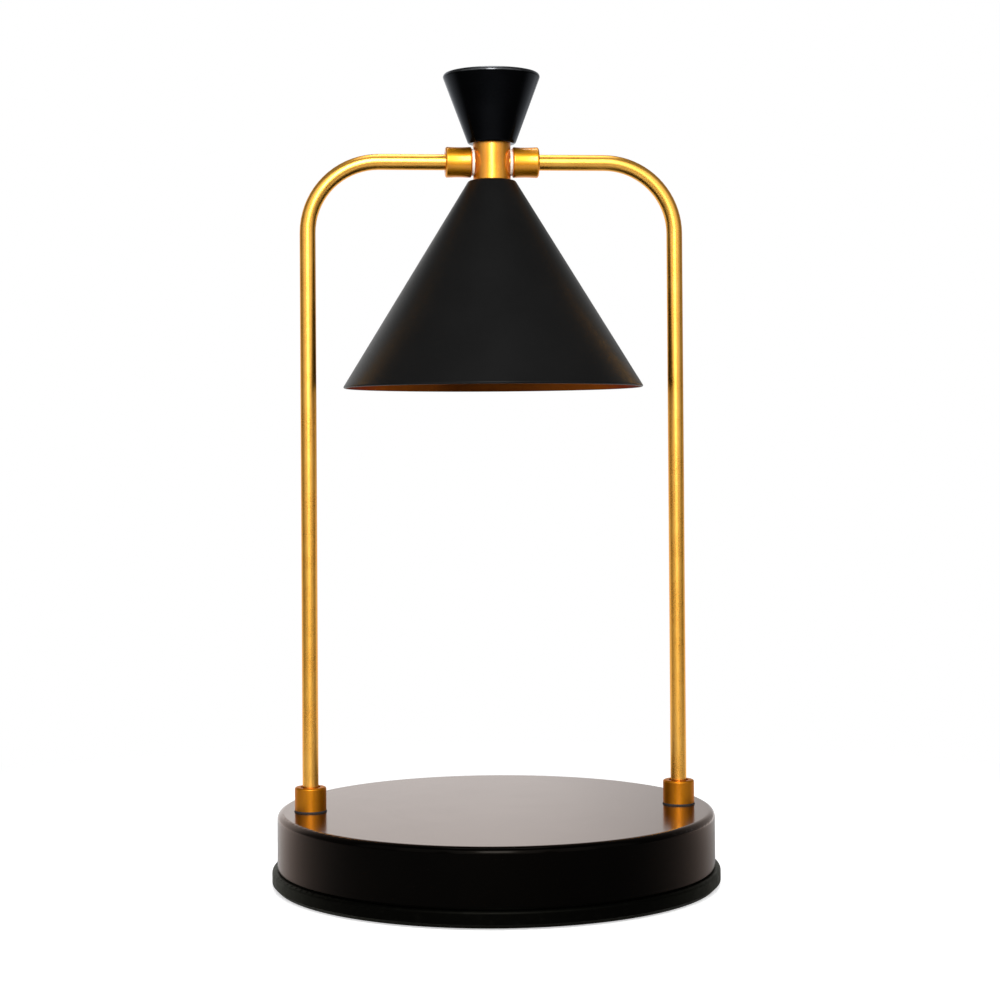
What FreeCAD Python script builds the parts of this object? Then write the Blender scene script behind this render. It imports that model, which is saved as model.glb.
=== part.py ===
import FreeCAD, Part
import math
import os
from types import SimpleNamespace

import Sketcher
from FreeCAD import Placement, Rotation, Vector

# Candle warmer lamp: a weighted round base, a pair of L-bent tubes that carry a tilting head with
# a conical shade, and a twist-lock reflector bulb that shines down on a candle on the base.
# Millimetres. +Z is up, X runs along the crossbar, -Y is the front. The origin is the centre of
# the footprint, on the surface that the lamp stands on.

SIZES = [
    # Base: a drawn steel cup closed by a moulded tray
    ("base_radius", 82.5, "outside of the base shell"),
    ("base_height", 28.2, "top face of the base above the table"),
    ("shell_wall", 1.2, "sheet of the base shell"),
    ("shell_round", 2.4, "rounded top edge of the base shell"),
    ("lip_overhang", 2.0, "how far the tray's lip stands out from the shell"),
    ("lip_height", 6.3, "height of the tray's lip"),
    ("lip_round", 1.3, "rounded top edge of the lip"),
    ("lip_taper", 1.5, "how far the lip draws in at its foot"),
    ("shadow_gap", 0.6, "height of the groove between lip and shell"),
    ("seat_width", 0.7, "width of the step that the shell stands on"),
    ("tray_floor", 2.0, "floor of the tray"),
    ("tray_wall", 1.8, "wall of the tray inside the shell"),
    ("tray_wall_height", 11.2, "height of that wall above the tray's underside"),
    ("foot_stand", 0.8, "how far the feet hold the tray off the table"),
    ("foot_radius", 6.0, "rubber foot"),
    ("foot_seat", 1.0, "depth of the foot's recess in the tray"),
    ("foot_inset", 14.5, "circle of feet inside the base's outside"),
    ("foot_round", 0.5, "rounded lower edge of a foot"),
    # Ballast and what clamps the base together
    ("ballast_clear", 10.4, "iron disc from the lead beside it"),
    ("ballast_chamfer", 1.0, "iron disc"),
    ("screw_inset", 13.0, "circle of tray screws inside the iron disc's edge"),
    ("screw_radius", 2.0, "shank of a tray screw"),
    ("screw_head_radius", 3.8, "head of a tray screw"),
    ("screw_head_height", 2.4, "head of a tray screw"),
    ("screw_grip", 6.0, "tray screw inside its weld stud"),
    ("screw_socket", 2.5, "across the flats of the hexagon socket"),
    ("screw_socket_depth", 1.3, "hexagon socket"),
    ("boss_wall", 2.4, "wall of the tray's boss round a screw head"),
    ("boss_web", 2.0, "floor of the boss under a screw head"),
    ("boss_recess", 3.0, "depth of the recess that hides a screw head"),
    ("standoff_radius", 3.5, "weld stud under the shell's top"),
    ("thread_run_out", 1.0, "tapped hole beyond the screw's end"),
    # Cord inlet and terminal block
    ("gland_bore", 2.8, "radius of the cord's hole"),
    ("gland_neck", 3.9, "radius of the neck in the shell's hole"),
    ("gland_flange", 5.6, "radius of the outer flange"),
    ("gland_flange_thickness", 1.5, "outer flange"),
    ("gland_clip", 4.7, "radius of the inner snap rim"),
    ("gland_clip_length", 1.8, "inner snap rim"),
    ("gland_round", 0.5, "rounded edge of the outer flange"),
    ("block_inset", 14.0, "terminal block's centre inside the iron disc's edge"),
    ("block_length", 24.0, "terminal block along X"),
    ("block_depth", 13.0, "terminal block along Y"),
    ("block_height", 10.0, "terminal block"),
    ("block_clear", 1.6, "terminal block below the shell's top"),
    ("block_pitch", 6.6, "distance between the two poles"),
    ("block_wire_height", 3.8, "wire channels above the block's underside"),
    ("block_wire_radius", 1.8, "wire channel"),
    ("well_offset", 7.0, "clamp screw from the block's middle along X"),
    ("well_radius", 2.2, "clamp screw's well"),
    ("clamp_screw_radius", 2.1, "clamp screw"),
    ("clamp_screw_length", 3.6, "clamp screw"),
    ("block_screw_radius", 1.5, "screw that holds the block on the ballast"),
    ("block_screw_head", 2.6, "head radius of that screw"),
    ("block_screw_head_height", 1.6, "head of that screw"),
    ("block_screw_length", 9.0, "shank of that screw"),
    ("block_screw_sink", 4.0, "depth of the counterbore for its head"),
    # Posts and their collars on the base
    ("post_inset", 12.5, "axis of a post inside the base's outside"),
    ("post_radius", 3.0, "outside of the tube"),
    ("post_wall", 0.8, "wall of the tube"),
    ("post_bend", 27.0, "bend radius of the tube's centre line"),
    ("bar_height", 273.0, "axis of the crossbar above the table"),
    ("collar_radius", 5.9, "outside of a post's collar"),
    ("collar_height", 9.2, "collar above the base"),
    ("collar_floor", 1.2, "seat of the tube inside the collar"),
    ("collar_round", 0.7, "rounded top edge of the collar"),
    ("collar_seat", 0.3, "depth of the seat pressed in the base under a collar"),
    ("collar_seat_gap", 0.35, "seat's edge outside the collar"),
    ("mouth_clearance", 0.75, "groove round the tube where it enters a collar or sleeve"),
    ("mouth_depth", 0.9, "depth of that groove"),
    ("tail_radius", 4.0, "threaded tail of the collar"),
    ("tail_spare", 1.0, "threaded tail beyond its nut"),
    ("tail_bore", 2.3, "lead's passage through the tail"),
    ("washer_radius", 7.5, "flat washer"),
    ("washer_thickness", 0.8, "flat washer"),
    ("nut_flats", 12.0, "hexagon nut, across the flats"),
    ("nut_height", 3.0, "hexagon nut"),
    ("grub_radius", 1.5, "set screw"),
    ("grub_length", 2.4, "set screw"),
    ("grub_socket", 1.5, "across the flats of the set screw's socket"),
    # Tilt joint: the tubes' ends are the axle of the hub
    ("hub_radius", 7.15, "hub"),
    ("hub_over", 1.1, "hub above and below the sleeves beside it"),
    ("hub_round", 0.4, "rounded lower edge of the hub"),
    ("ear_depth", 0.45, "side face inside the hub's radius"),
    ("ear_recess", 0.45, "recess in the hub's side, beyond the friction washer"),
    ("stub_end", 4.4, "end of a tube inside the hub, from the lamp's axis"),
    ("friction_washer_inset", 1.05, "friction washer inside the sleeve's outside"),
    ("friction_washer_thickness", 1.0, "friction washer"),
    ("friction_washer_bulge", 0.6, "radius of the friction washer's rounded rim"),
    ("face_gap", 0.05, "play on each side of a friction washer"),
    ("sleeve_radius", 5.9, "sleeve beside the hub"),
    ("sleeve_length", 10.0, "sleeve beside the hub"),
    ("sleeve_round", 0.8, "rounded outer edge of the sleeve"),
    ("sleeve_inner_round", 0.7, "rounded edge of the sleeve beside the hub"),
    ("sleeve_waist_arc", 60.0, "radius of the sleeve's shallow waist"),
    # Finial
    ("finial_height", 26.8, "finial above the hub"),
    ("finial_foot", 9.0, "radius of its lower end"),
    ("finial_top", 19.0, "radius of its upper end"),
    ("finial_round", 1.3, "rounded top edge"),
    ("finial_foot_round", 1.0, "rounded lower edge"),
    ("stud_radius", 3.0, "stud that holds the finial"),
    ("stud_in_hub", 3.4, "stud below the hub's top"),
    ("stud_in_finial", 8.0, "stud above the hub's top"),
    # Shade and the stack on its threaded nipple
    ("shade_height", 78.8, "shade from the hub down to its rim"),
    ("shade_neck", 8.9, "radius where the cone meets its flat top"),
    ("rim_clear", 9.8, "rim from the posts"),
    ("shade_wall", 1.0, "sheet of the shade"),
    ("shade_round", 1.3, "rounded shoulder of the shade"),
    ("nipple_radius", 4.0, "threaded nipple"),
    ("nipple_bore", 2.5, "leads' passage through the nipple"),
    ("nipple_in_hub", 3.5, "nipple inside the hub"),
    ("plate_inset", 0.4, "lampholder plate inside the lampholder's outside"),
    ("plate_thickness", 1.5, "lampholder plate"),
    ("plate_nut_height", 2.5, "nut on the lampholder plate"),
    ("insulator_thickness", 0.6, "mica disc under the plate"),
    ("stack_gap", 1.0, "least gap between the two nuts on the nipple"),
    # Lampholder
    ("holder_clear", 1.5, "lampholder's top edge from the shade"),
    ("holder_radius", 13.3, "ceramic body"),
    ("holder_height", 18.0, "ceramic body"),
    ("holder_chamfer", 0.8, "ceramic body"),
    ("holder_face", 2.5, "thickness of the slotted face"),
    ("chamber_gap", 0.3, "contact chamber round the pins' heads"),
    ("barrier_width", 1.6, "wall between the two poles"),
    ("barrier_height", 10.0, "wall between the two poles"),
    ("holder_screw_wall", 0.5, "ceramic between a holder screw and the chamber"),
    ("holder_screw_radius", 1.5, "holder screw"),
    ("holder_screw_head", 2.4, "head radius of a holder screw"),
    ("holder_screw_head_height", 1.4, "head of a holder screw"),
    ("holder_screw_length", 9.0, "shank of a holder screw"),
    ("contact_thickness", 0.6, "brass contact"),
    ("contact_foot", 1.5, "contact inward of the pin's axis"),
    ("contact_width", 2.4, "brass contact"),
    ("contact_lift", 0.3, "contact above the pins' ends"),
    ("contact_tab", 7.0, "height of the contact's tab"),
    # Bulb, twist-lock base with two pins 10 mm apart
    ("pin_offset", 5.0, "pin from the bulb's axis"),
    ("pin_shank", 1.5, "pin shank"),
    ("pin_head", 2.5, "pin head"),
    ("pin_length", 7.0, "pin above the lampholder's face"),
    ("pin_head_gap", 0.5, "pin head above the slotted face"),
    ("pin_play", 0.2, "play of a pin in its slot"),
    ("bulb_twist", 20.0, "degrees from locked to free"),
    ("bulb_gap", 0.3, "bulb base below the lampholder's face"),
    ("bulb_base_radius", 12.7, "ceramic base of the bulb"),
    ("bulb_base_height", 8.0, "straight part of the bulb's base"),
    ("bulb_base_round", 0.8, "rounded upper edge of the bulb's base"),
    ("bulb_neck_radius", 10.6, "lower end of the bulb's base"),
    ("bulb_neck_height", 7.0, "tapered part of the bulb's base"),
    ("bulb_radius", 25.0, "front of the bulb"),
    ("bulb_length", 46.0, "bulb without its pins"),
    ("bulb_rim_height", 3.6, "straight rim of the reflector"),
    ("bulb_curve", 44.0, "radius of the reflector's outline"),
    ("bulb_glass", 1.6, "glass of the reflector"),
    ("lens_thickness", 1.8, "front glass"),
    ("lens_recess", 0.4, "front glass behind the rim's edge"),
    ("capsule_radius", 4.6, "inner capsule"),
    ("capsule_length", 17.0, "inner capsule below the bulb's base"),
    ("capsule_stem", 3.0, "stem of the capsule"),
    ("capsule_stem_length", 4.0, "stem inside the bulb's base"),
    ("capsule_wall", 0.9, "glass of the capsule"),
    ("filament_radius", 1.1, "filament coil"),
    ("filament_length", 6.0, "filament coil"),
    # Leads
    ("lead_radius", 1.6, "sheathed lead in the base and the left post"),
    ("lead_rise", 1.5, "straight stretch of the lead below the left collar's tail"),
    ("lead_turn", 7.0, "bend where it turns up into the collar"),
    ("lead_corner", 20.0, "corners of its route from the left post's axis"),
    ("lead_sweep", 14.0, "bends on its way round the ballast"),
    ("lead_end", 1.0, "end of the lead inside the hub, from the lamp's axis"),
    ("core_radius", 0.6, "single core in the head"),
    ("core_offset", 0.9, "core from the lamp's axis along Y"),
    ("core_turn", 1.8, "bends of a core"),
    ("core_drop", 2.5, "where the cores part, below the lampholder's top"),
    # Clearances
    ("slip_gap", 0.3, "between loose-fitting parts"),
    ("thread_gap", 0.05, "between a thread and what it goes in"),
    ("running_gap", 0.05, "between the axle stubs and the hub"),
    ("hole_gap", 0.2, "between a screw and a plain hole"),
]

TRAY_SCREWS = 3
FEET = 4
FIRST_SCREW_ANGLE = math.radians(30)
FIRST_FOOT_ANGLE = math.radians(45)
HEX_CORNERS = 6

doc = FreeCAD.newDocument("candle_warmer_lamp")


class Size:
    """A length that knows its value and the sheet expression behind it."""

    def __init__(self, value, text):
        self.value = value
        self.text = text

    def __add__(self, other):
        other = as_size(other)
        return Size(self.value + other.value, f"({self.text} + {other.text})")

    def __sub__(self, other):
        other = as_size(other)
        return Size(self.value - other.value, f"({self.text} - {other.text})")

    def __mul__(self, other):
        other = as_size(other)
        return Size(self.value * other.value, f"({self.text} * {other.text})")

    def __truediv__(self, other):
        other = as_size(other)
        return Size(self.value / other.value, f"({self.text} / {other.text})")

    def __rmul__(self, other):
        return self * other

    def __neg__(self):
        return Size(-self.value, f"(-1 * {self.text})")


def as_size(number):
    """A plain number as a Size; a Size stays as it is."""
    if isinstance(number, Size):
        return number
    return Size(number, repr(number))


def root(size):
    return Size(math.sqrt(size.value), f"sqrt({size.text})")


def cosine(angle):
    return Size(math.cos(math.radians(angle.value)), f"cos({angle.text} * 1 deg)")


def sine(angle):
    return Size(math.sin(math.radians(angle.value)), f"sin({angle.text} * 1 deg)")


def larger(one, other):
    return Size(max(one.value, other.value), f"max({one.text}; {other.text})")


def make_sheet(rows):
    """Put the driving dimensions in the sheet and return them by name."""
    sheet = doc.addObject("Spreadsheet::Sheet", "Sizes")
    named = {}
    for row, (alias, value, note) in enumerate(rows, start=1):
        sheet.set(f"A{row}", alias)
        sheet.set(f"B{row}", str(value))
        sheet.set(f"C{row}", note)
        sheet.setAlias(f"B{row}", alias)
        named[alias] = Size(value, f"Sizes.{alias}")
    doc.recompute()
    return SimpleNamespace(**named)


S = make_sheet(SIZES)

# Radii and places that several pieces share
post_offset = S.base_radius - S.post_inset
lip_radius = S.base_radius + S.lip_overhang
foot_circle = S.base_radius - S.foot_inset
ballast_radius = post_offset - S.lead_radius - S.ballast_clear
screw_circle = ballast_radius - S.screw_inset
block_setback = ballast_radius - S.block_inset
shell_inside = S.base_radius - S.shell_wall
tray_wall_outside = shell_inside - S.slip_gap

tray_under = S.foot_stand
tray_wall_top = tray_under + S.tray_wall_height
lip_top = tray_under + S.lip_height
shell_foot = lip_top + S.shadow_gap
shell_under = S.base_height - S.shell_wall
boss_height = S.boss_recess + S.boss_web
boss_top = tray_under + boss_height
ballast_top = shell_under - S.block_height - S.block_clear
ballast_thickness = ballast_top - boss_top
block_top = ballast_top + S.block_height
gland_height = (tray_wall_top + shell_under) / 2
tail_length = S.shell_wall + S.washer_thickness + S.nut_height + S.tail_spare
lead_low = S.base_height - tail_length - S.lead_rise - S.lead_turn

hub_height = (S.sleeve_radius + S.hub_over) * 2
hub_top = S.bar_height + hub_height / 2
hub_bottom = S.bar_height - hub_height / 2
ear_reach = S.hub_radius - S.ear_depth
socket_radius = S.post_radius + S.running_gap
mouth_radius = S.post_radius + S.mouth_clearance
sleeve_start = ear_reach + S.face_gap * 2 + S.friction_washer_thickness
sleeve_middle = sleeve_start + S.sleeve_length / 2
collar_middle = S.base_height + S.collar_height / 2
nipple_top = hub_bottom + S.nipple_in_hub
threaded_bore = S.nipple_radius + S.thread_gap

shade_rim = post_offset - S.post_radius - S.rim_clear
shade_slope = (shade_rim - S.shade_neck) / S.shade_height
shade_across = S.shade_wall * root(shade_slope * shade_slope + 1)
shade_under = hub_bottom - S.shade_wall
shade_neck_inside = S.shade_neck + shade_slope * S.shade_wall - shade_across
rim_height = hub_bottom - S.shade_height
shade_washer_low = shade_under - S.washer_thickness
shade_nut_low = shade_washer_low - S.nut_height

# The lampholder hangs as high as the cone's width and the nuts above it allow
cone_drop = (S.holder_radius + S.holder_clear + shade_across - S.shade_neck) / shade_slope
plate_stack = S.insulator_thickness + S.plate_thickness + S.plate_nut_height
nut_drop = hub_bottom - shade_nut_low + S.stack_gap + plate_stack
holder_top = hub_bottom - larger(cone_drop, nut_drop)
holder_bottom = holder_top - S.holder_height
plate_under = holder_top + S.insulator_thickness
plate_top = plate_under + S.plate_thickness
chamber_radius = S.pin_offset + S.pin_head + S.chamber_gap
chamber_floor = holder_bottom + S.holder_face
holder_screw_offset = chamber_radius + S.holder_screw_wall + S.holder_screw_radius
pin_top = holder_bottom + S.pin_length
pin_head_low = chamber_floor + S.pin_head_gap
contact_under = pin_top + S.contact_lift
bulb_top = holder_bottom - S.bulb_gap
bulb_front = bulb_top - S.bulb_length
bulb_neck = bulb_top - S.bulb_base_height - S.bulb_neck_height


# Helpers: sketches whose every size is bound to the sheet, and the features made from them

def bind(thing, path, size):
    """Drive a property by the expression of a size."""
    thing.setExpression(path, as_size(size).text)


def new_body(label):
    body = doc.addObject("PartDesign::Body", label)
    body.Label = label
    return body


def origin_of(body, role):
    """The body's own origin plane or axis with that role."""
    for feature in body.Origin.OriginFeatures:
        if feature.Role == role:
            return feature
    raise ValueError(f"{body.Label} has no {role}")


def new_sketch(body, plane, across=None, up=None, lift=None):
    """A sketch on an origin plane, moved in the plane by across and up, and off it by lift."""
    sketch = body.newObject("Sketcher::SketchObject", f"{body.Label}_sketch")
    sketch.AttachmentSupport = [(origin_of(body, plane), "")]
    sketch.MapMode = "FlatFace"
    sketch.AttachmentOffset = Placement(Vector(0, 0, 0), Rotation())
    for name, size in (("x", across), ("y", up), ("z", lift)):
        if size is not None:
            bind(sketch, f"AttachmentOffset.Base.{name}", size)
    return sketch


def constrain(sketch, kind, target, size):
    """Add a constraint with a value and bind the value to the sheet."""
    index = sketch.addConstraint(Sketcher.Constraint(kind, *target, size.value))
    bind(sketch, f"Constraints[{index}]", size)


def hold_point(sketch, geometry, end, x, y):
    """Fix a point by its signed distances from the sketch's origin."""
    for kind, size, axis in (("DistanceX", x, -2), ("DistanceY", y, -1)):
        size = as_size(size)
        if size.text == "0":
            sketch.addConstraint(Sketcher.Constraint("PointOnObject", geometry, end, axis))
        else:
            constrain(sketch, kind, (-1, 1, geometry, end), size)


def draw_circle(sketch, radius, x=0, y=0):
    x, y, radius = as_size(x), as_size(y), as_size(radius)
    centre = Vector(x.value, y.value, 0)
    geometry = sketch.addGeometry(Part.Circle(centre, Vector(0, 0, 1), radius.value), False)
    constrain(sketch, "Radius", (geometry,), radius)
    hold_point(sketch, geometry, 3, x, y)


def arc_between(start, end, bend):
    """Arc from start to end; its centre lies to the left when bend is positive."""
    chord = end - start
    middle = (start + end) * 0.5
    left = Vector(-chord.y, chord.x, 0).normalize()
    rise = math.sqrt(bend * bend - chord.Length ** 2 / 4)
    centre = middle + left * math.copysign(rise, bend)
    circle = Part.Circle(centre, Vector(0, 0, 1), abs(bend))
    first, last = (start, end) if bend > 0 else (end, start)
    return Part.ArcOfCircle(circle, circle.parameter(first), circle.parameter(last))


def draw_outline(sketch, corners):
    """Close a run of edges. A corner is (x, y), or (x, y, bend) where an arc leads on from it."""
    spots = [[as_size(part) for part in corner] for corner in corners]
    points = [Vector(spot[0].value, spot[1].value, 0) for spot in spots]
    ends = []
    for index, spot in enumerate(spots):
        start, end = points[index], points[(index + 1) % len(points)]
        if len(spot) == 2:
            ends.append((sketch.addGeometry(Part.LineSegment(start, end), False), 1, 2))
            continue
        bend = spot[2]
        geometry = sketch.addGeometry(arc_between(start, end, bend.value), False)
        ends.append((geometry, 1, 2) if bend.value > 0 else (geometry, 2, 1))
    for index, (geometry, first, last) in enumerate(ends):
        following, following_first, _ = ends[(index + 1) % len(ends)]
        join = Sketcher.Constraint("Coincident", geometry, last, following, following_first)
        sketch.addConstraint(join)
    for spot, (geometry, first, last) in zip(spots, ends):
        hold_point(sketch, geometry, first, spot[0], spot[1])
        if len(spot) == 3:
            size = spot[2] if spot[2].value > 0 else -spot[2]
            constrain(sketch, "Radius", (geometry,), size)


def draw_rectangle(sketch, width, depth, x=0, y=0):
    """A rectangle centred on (x, y)."""
    x, y = as_size(x), as_size(y)
    left, right = x - width / 2, x + width / 2
    low, high = y - depth / 2, y + depth / 2
    draw_outline(sketch, [(left, low), (right, low), (right, high), (left, high)])


def draw_hexagon(sketch, flats, x=0, y=0):
    """A regular hexagon with a corner on each side along x."""
    x, y = as_size(x), as_size(y)
    reach = flats / math.sqrt(3)
    corners = []
    for index in range(HEX_CORNERS):
        angle = 2 * math.pi * index / HEX_CORNERS
        corners.append((x + reach * math.cos(angle), y + reach * math.sin(angle)))
    draw_outline(sketch, corners)


def make_feature(body, kind, sketch, **flags):
    feature = body.newObject(f"PartDesign::{kind}", f"{body.Label}_{kind.lower()}")
    feature.Profile = sketch
    for name, value in flags.items():
        setattr(feature, name, value)
    return feature


def pad(body, sketch, length, **flags):
    feature = make_feature(body, "Pad", sketch, **flags)
    bind(feature, "Length", length)
    doc.recompute()
    return feature


def pocket(body, sketch, length, **flags):
    """Cut a sketch into the body, and make sure that it does cut."""
    before = body.Shape.Volume
    feature = make_feature(body, "Pocket", sketch, **flags)
    bind(feature, "Length", length)
    doc.recompute()
    if body.Shape.Volume >= before:
        raise RuntimeError(f"a pocket of {body.Label} cuts nothing")
    return feature


def revolve(body, sketch, axis="V_Axis"):
    feature = make_feature(body, "Revolution", sketch, ReferenceAxis=(sketch, [axis]), Angle=360)
    doc.recompute()
    return feature


def ring_edges(shape, radius, height, direction):
    """Names of the circular edges of that radius whose centre is that far along direction."""
    names = []
    for index, edge in enumerate(shape.Edges, start=1):
        if not isinstance(edge.Curve, Part.Circle):
            continue
        same_radius = abs(edge.Curve.Radius - radius.value) < 1e-4
        same_height = abs(edge.Curve.Center.dot(direction) - height.value) < 1e-4
        if same_radius and same_height:
            names.append(f"Edge{index}")
    return names


def soften(body, radius, height, size, kind="Fillet", direction=Vector(0, 0, 1)):
    """Round or chamfer the body's circular edges of that radius at that height."""
    base = body.Tip
    names = ring_edges(base.Shape, radius, height, direction)
    if not names:
        raise RuntimeError(f"{body.Label} has no edge to soften")
    feature = body.newObject(f"PartDesign::{kind}", f"{body.Label}_{kind.lower()}")
    feature.Base = (base, names)
    bind(feature, "Radius" if kind == "Fillet" else "Size", size)
    doc.recompute()


def repeat_round(body, features, count):
    """Repeat features round the lamp's axis."""
    pattern = body.newObject("PartDesign::PolarPattern", f"{body.Label}_pattern")
    pattern.Originals = features
    pattern.Axis = (origin_of(body, "Z_Axis"), [""])
    pattern.Angle = 360
    pattern.Occurrences = count
    body.Tip = pattern
    doc.recompute()


def repeat_across(body, features):
    """Repeat features on the other side of the lamp, left to right."""
    mirror = body.newObject("PartDesign::Mirrored", f"{body.Label}_mirror")
    mirror.Originals = features
    mirror.MirrorPlane = (origin_of(body, "YZ_Plane"), [""])
    body.Tip = mirror
    doc.recompute()


def place(body, x=0, y=0, z=0):
    for name, size in (("x", x), ("y", y), ("z", z)):
        bind(body, f"Placement.Base.{name}", size)
    doc.recompute()


def turned(label, corners, plane="XZ_Plane", axis="V_Axis", up=None):
    """A body made by turning one outline about an axis of its sketch."""
    body = new_body(label)
    sketch = new_sketch(body, plane, up=up)
    draw_outline(sketch, corners)
    revolve(body, sketch, axis)
    return body


def tube_between(label, outside, inside, low, high):
    """An upright tube on the lamp's axis."""
    corners = [(inside, low), (outside, low), (outside, high), (inside, high)]
    return turned(label, corners)


def pipe_along(label, points, turns, radius):
    """A round lead along straight runs joined by tangent arcs, one turn radius per inner point."""
    edges = []
    start = points[0]
    for before, corner, after, turn in zip(points, points[1:], points[2:], turns):
        incoming = (corner - before).normalize()
        outgoing = (after - corner).normalize()
        half = incoming.getAngle(outgoing) / 2
        reach = turn * math.tan(half)
        entry = corner - incoming * reach
        leave = corner + outgoing * reach
        inward = (outgoing - incoming).normalize()
        middle = corner + inward * (turn / math.cos(half) - turn)
        edges.append(Part.LineSegment(start, entry).toShape())
        edges.append(Part.Arc(entry, middle, leave).toShape())
        start = leave
    edges.append(Part.LineSegment(start, points[-1]).toShape())
    spine = Part.Wire(edges)
    direction = (points[1] - points[0]).normalize()
    section = Part.Wire([Part.makeCircle(radius, points[0], direction)])
    shape = spine.makePipeShell([section], True, False)
    expected = math.pi * radius ** 2 * spine.Length
    if abs(shape.Volume / expected - 1) > 1e-3:
        raise RuntimeError(f"{label} has the wrong volume")
    return shape


def add_feature(label, shape):
    feature = doc.addObject("Part::Feature", label)
    feature.Label = label
    feature.Shape = shape
    return feature


# Base

def make_base_shell():
    corners = [
        (0, shell_under),
        (shell_inside, shell_under),
        (shell_inside, shell_foot),
        (S.base_radius, shell_foot),
        (S.base_radius, S.base_height),
        (0, S.base_height),
    ]
    body = turned("base_shell", corners)
    soften(body, S.base_radius, S.base_height, S.shell_round)
    soften(body, shell_inside, shell_under, S.shell_round - S.shell_wall)
    collar_seats = new_sketch(body, "XY_Plane", lift=S.base_height)
    post_holes = new_sketch(body, "XY_Plane", lift=S.base_height)
    for side in (-1, 1):
        draw_circle(collar_seats, S.collar_radius + S.collar_seat_gap, post_offset * side)
        draw_circle(post_holes, S.tail_radius + S.hole_gap, post_offset * side)
    pocket(body, collar_seats, S.collar_seat)
    pocket(body, post_holes, S.shell_wall)
    inlet = new_sketch(body, "XZ_Plane")
    draw_circle(inlet, S.gland_neck + S.hole_gap, 0, gland_height)
    pocket(body, inlet, S.base_radius)
    return body


def make_bottom_tray():
    floor_top = tray_under + S.tray_floor
    wall_inside = tray_wall_outside - S.tray_wall
    seat = shell_inside + S.seat_width
    taper_top = tray_under + S.lip_taper
    corners = [
        (0, tray_under),
        (lip_radius - S.lip_taper, tray_under),
        (lip_radius, taper_top),
        (lip_radius, lip_top),
        (seat, lip_top),
        (seat, shell_foot),
        (tray_wall_outside, shell_foot),
        (tray_wall_outside, tray_wall_top),
        (wall_inside, tray_wall_top),
        (wall_inside, floor_top),
        (0, floor_top),
    ]
    body = turned("bottom_tray", corners)
    soften(body, lip_radius, lip_top, S.lip_round)
    x, y = round_spot(screw_circle, FIRST_SCREW_ANGLE)
    boss = new_sketch(body, "XY_Plane", lift=tray_under)
    draw_circle(boss, S.screw_head_radius + S.slip_gap + S.boss_wall, x, y)
    boss_pad = pad(body, boss, boss_height)
    recess = new_sketch(body, "XY_Plane", lift=tray_under)
    draw_circle(recess, S.screw_head_radius + S.slip_gap, x, y)
    recess_cut = pocket(body, recess, S.boss_recess, Reversed=True)
    hole = new_sketch(body, "XY_Plane", lift=tray_under)
    draw_circle(hole, S.screw_radius + S.hole_gap, x, y)
    hole_cut = pocket(body, hole, boss_height, Reversed=True)
    repeat_round(body, [boss_pad, recess_cut, hole_cut], TRAY_SCREWS)
    foot_seat = new_sketch(body, "XY_Plane", lift=tray_under)
    foot_x, foot_y = round_spot(foot_circle, FIRST_FOOT_ANGLE)
    draw_circle(foot_seat, S.foot_radius + S.thread_gap, foot_x, foot_y)
    seat_cut = pocket(body, foot_seat, S.foot_seat, Reversed=True)
    repeat_round(body, [seat_cut], FEET)
    return body


def round_spot(radius, angle):
    """A point on a circle round the lamp's axis."""
    return radius * math.cos(angle), radius * math.sin(angle)


def make_rubber_feet():
    body = new_body("rubber_feet")
    sketch = new_sketch(body, "XY_Plane")
    draw_circle(sketch, S.foot_radius, *round_spot(foot_circle, FIRST_FOOT_ANGLE))
    foot = pad(body, sketch, tray_under + S.foot_seat)
    repeat_round(body, [foot], FEET)
    soften(body, S.foot_radius, as_size(0), S.foot_round)
    return body


def make_ballast():
    body = new_body("ballast_disc")
    disc = new_sketch(body, "XY_Plane", lift=boss_top)
    draw_circle(disc, ballast_radius)
    pad(body, disc, ballast_thickness)
    soften(body, ballast_radius, ballast_top, S.ballast_chamfer, "Chamfer")
    hole = new_sketch(body, "XY_Plane", lift=ballast_top)
    draw_circle(hole, S.screw_radius + S.hole_gap, *round_spot(screw_circle, FIRST_SCREW_ANGLE))
    cut = pocket(body, hole, ballast_thickness)
    repeat_round(body, [cut], TRAY_SCREWS)
    tapped = new_sketch(body, "XY_Plane", lift=ballast_top)
    draw_circle(tapped, S.block_screw_radius + S.thread_gap, 0, block_setback)
    pocket(body, tapped, ballast_thickness)
    return body


def make_standoffs():
    body = new_body("standoffs")
    x, y = round_spot(screw_circle, FIRST_SCREW_ANGLE)
    stud = new_sketch(body, "XY_Plane", lift=ballast_top)
    draw_circle(stud, S.standoff_radius, x, y)
    post = pad(body, stud, shell_under - ballast_top)
    thread = new_sketch(body, "XY_Plane", lift=ballast_top)
    draw_circle(thread, S.screw_radius + S.thread_gap, x, y)
    cut = pocket(body, thread, S.screw_grip + S.thread_run_out, Reversed=True)
    repeat_round(body, [post, cut], TRAY_SCREWS)
    return body


def make_tray_screws():
    body = new_body("tray_screws")
    x, y = round_spot(screw_circle, FIRST_SCREW_ANGLE)
    seat = tray_under + S.boss_recess
    head_foot = seat - S.screw_head_height
    head = new_sketch(body, "XY_Plane", lift=head_foot)
    draw_circle(head, S.screw_head_radius, x, y)
    head_pad = pad(body, head, S.screw_head_height)
    shank = new_sketch(body, "XY_Plane", lift=seat)
    draw_circle(shank, S.screw_radius, x, y)
    shank_pad = pad(body, shank, S.boss_web + ballast_thickness + S.screw_grip)
    socket = new_sketch(body, "XY_Plane", lift=head_foot)
    draw_hexagon(socket, S.screw_socket, x, y)
    socket_cut = pocket(body, socket, S.screw_socket_depth, Reversed=True)
    repeat_round(body, [head_pad, shank_pad, socket_cut], TRAY_SCREWS)
    return body


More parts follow.
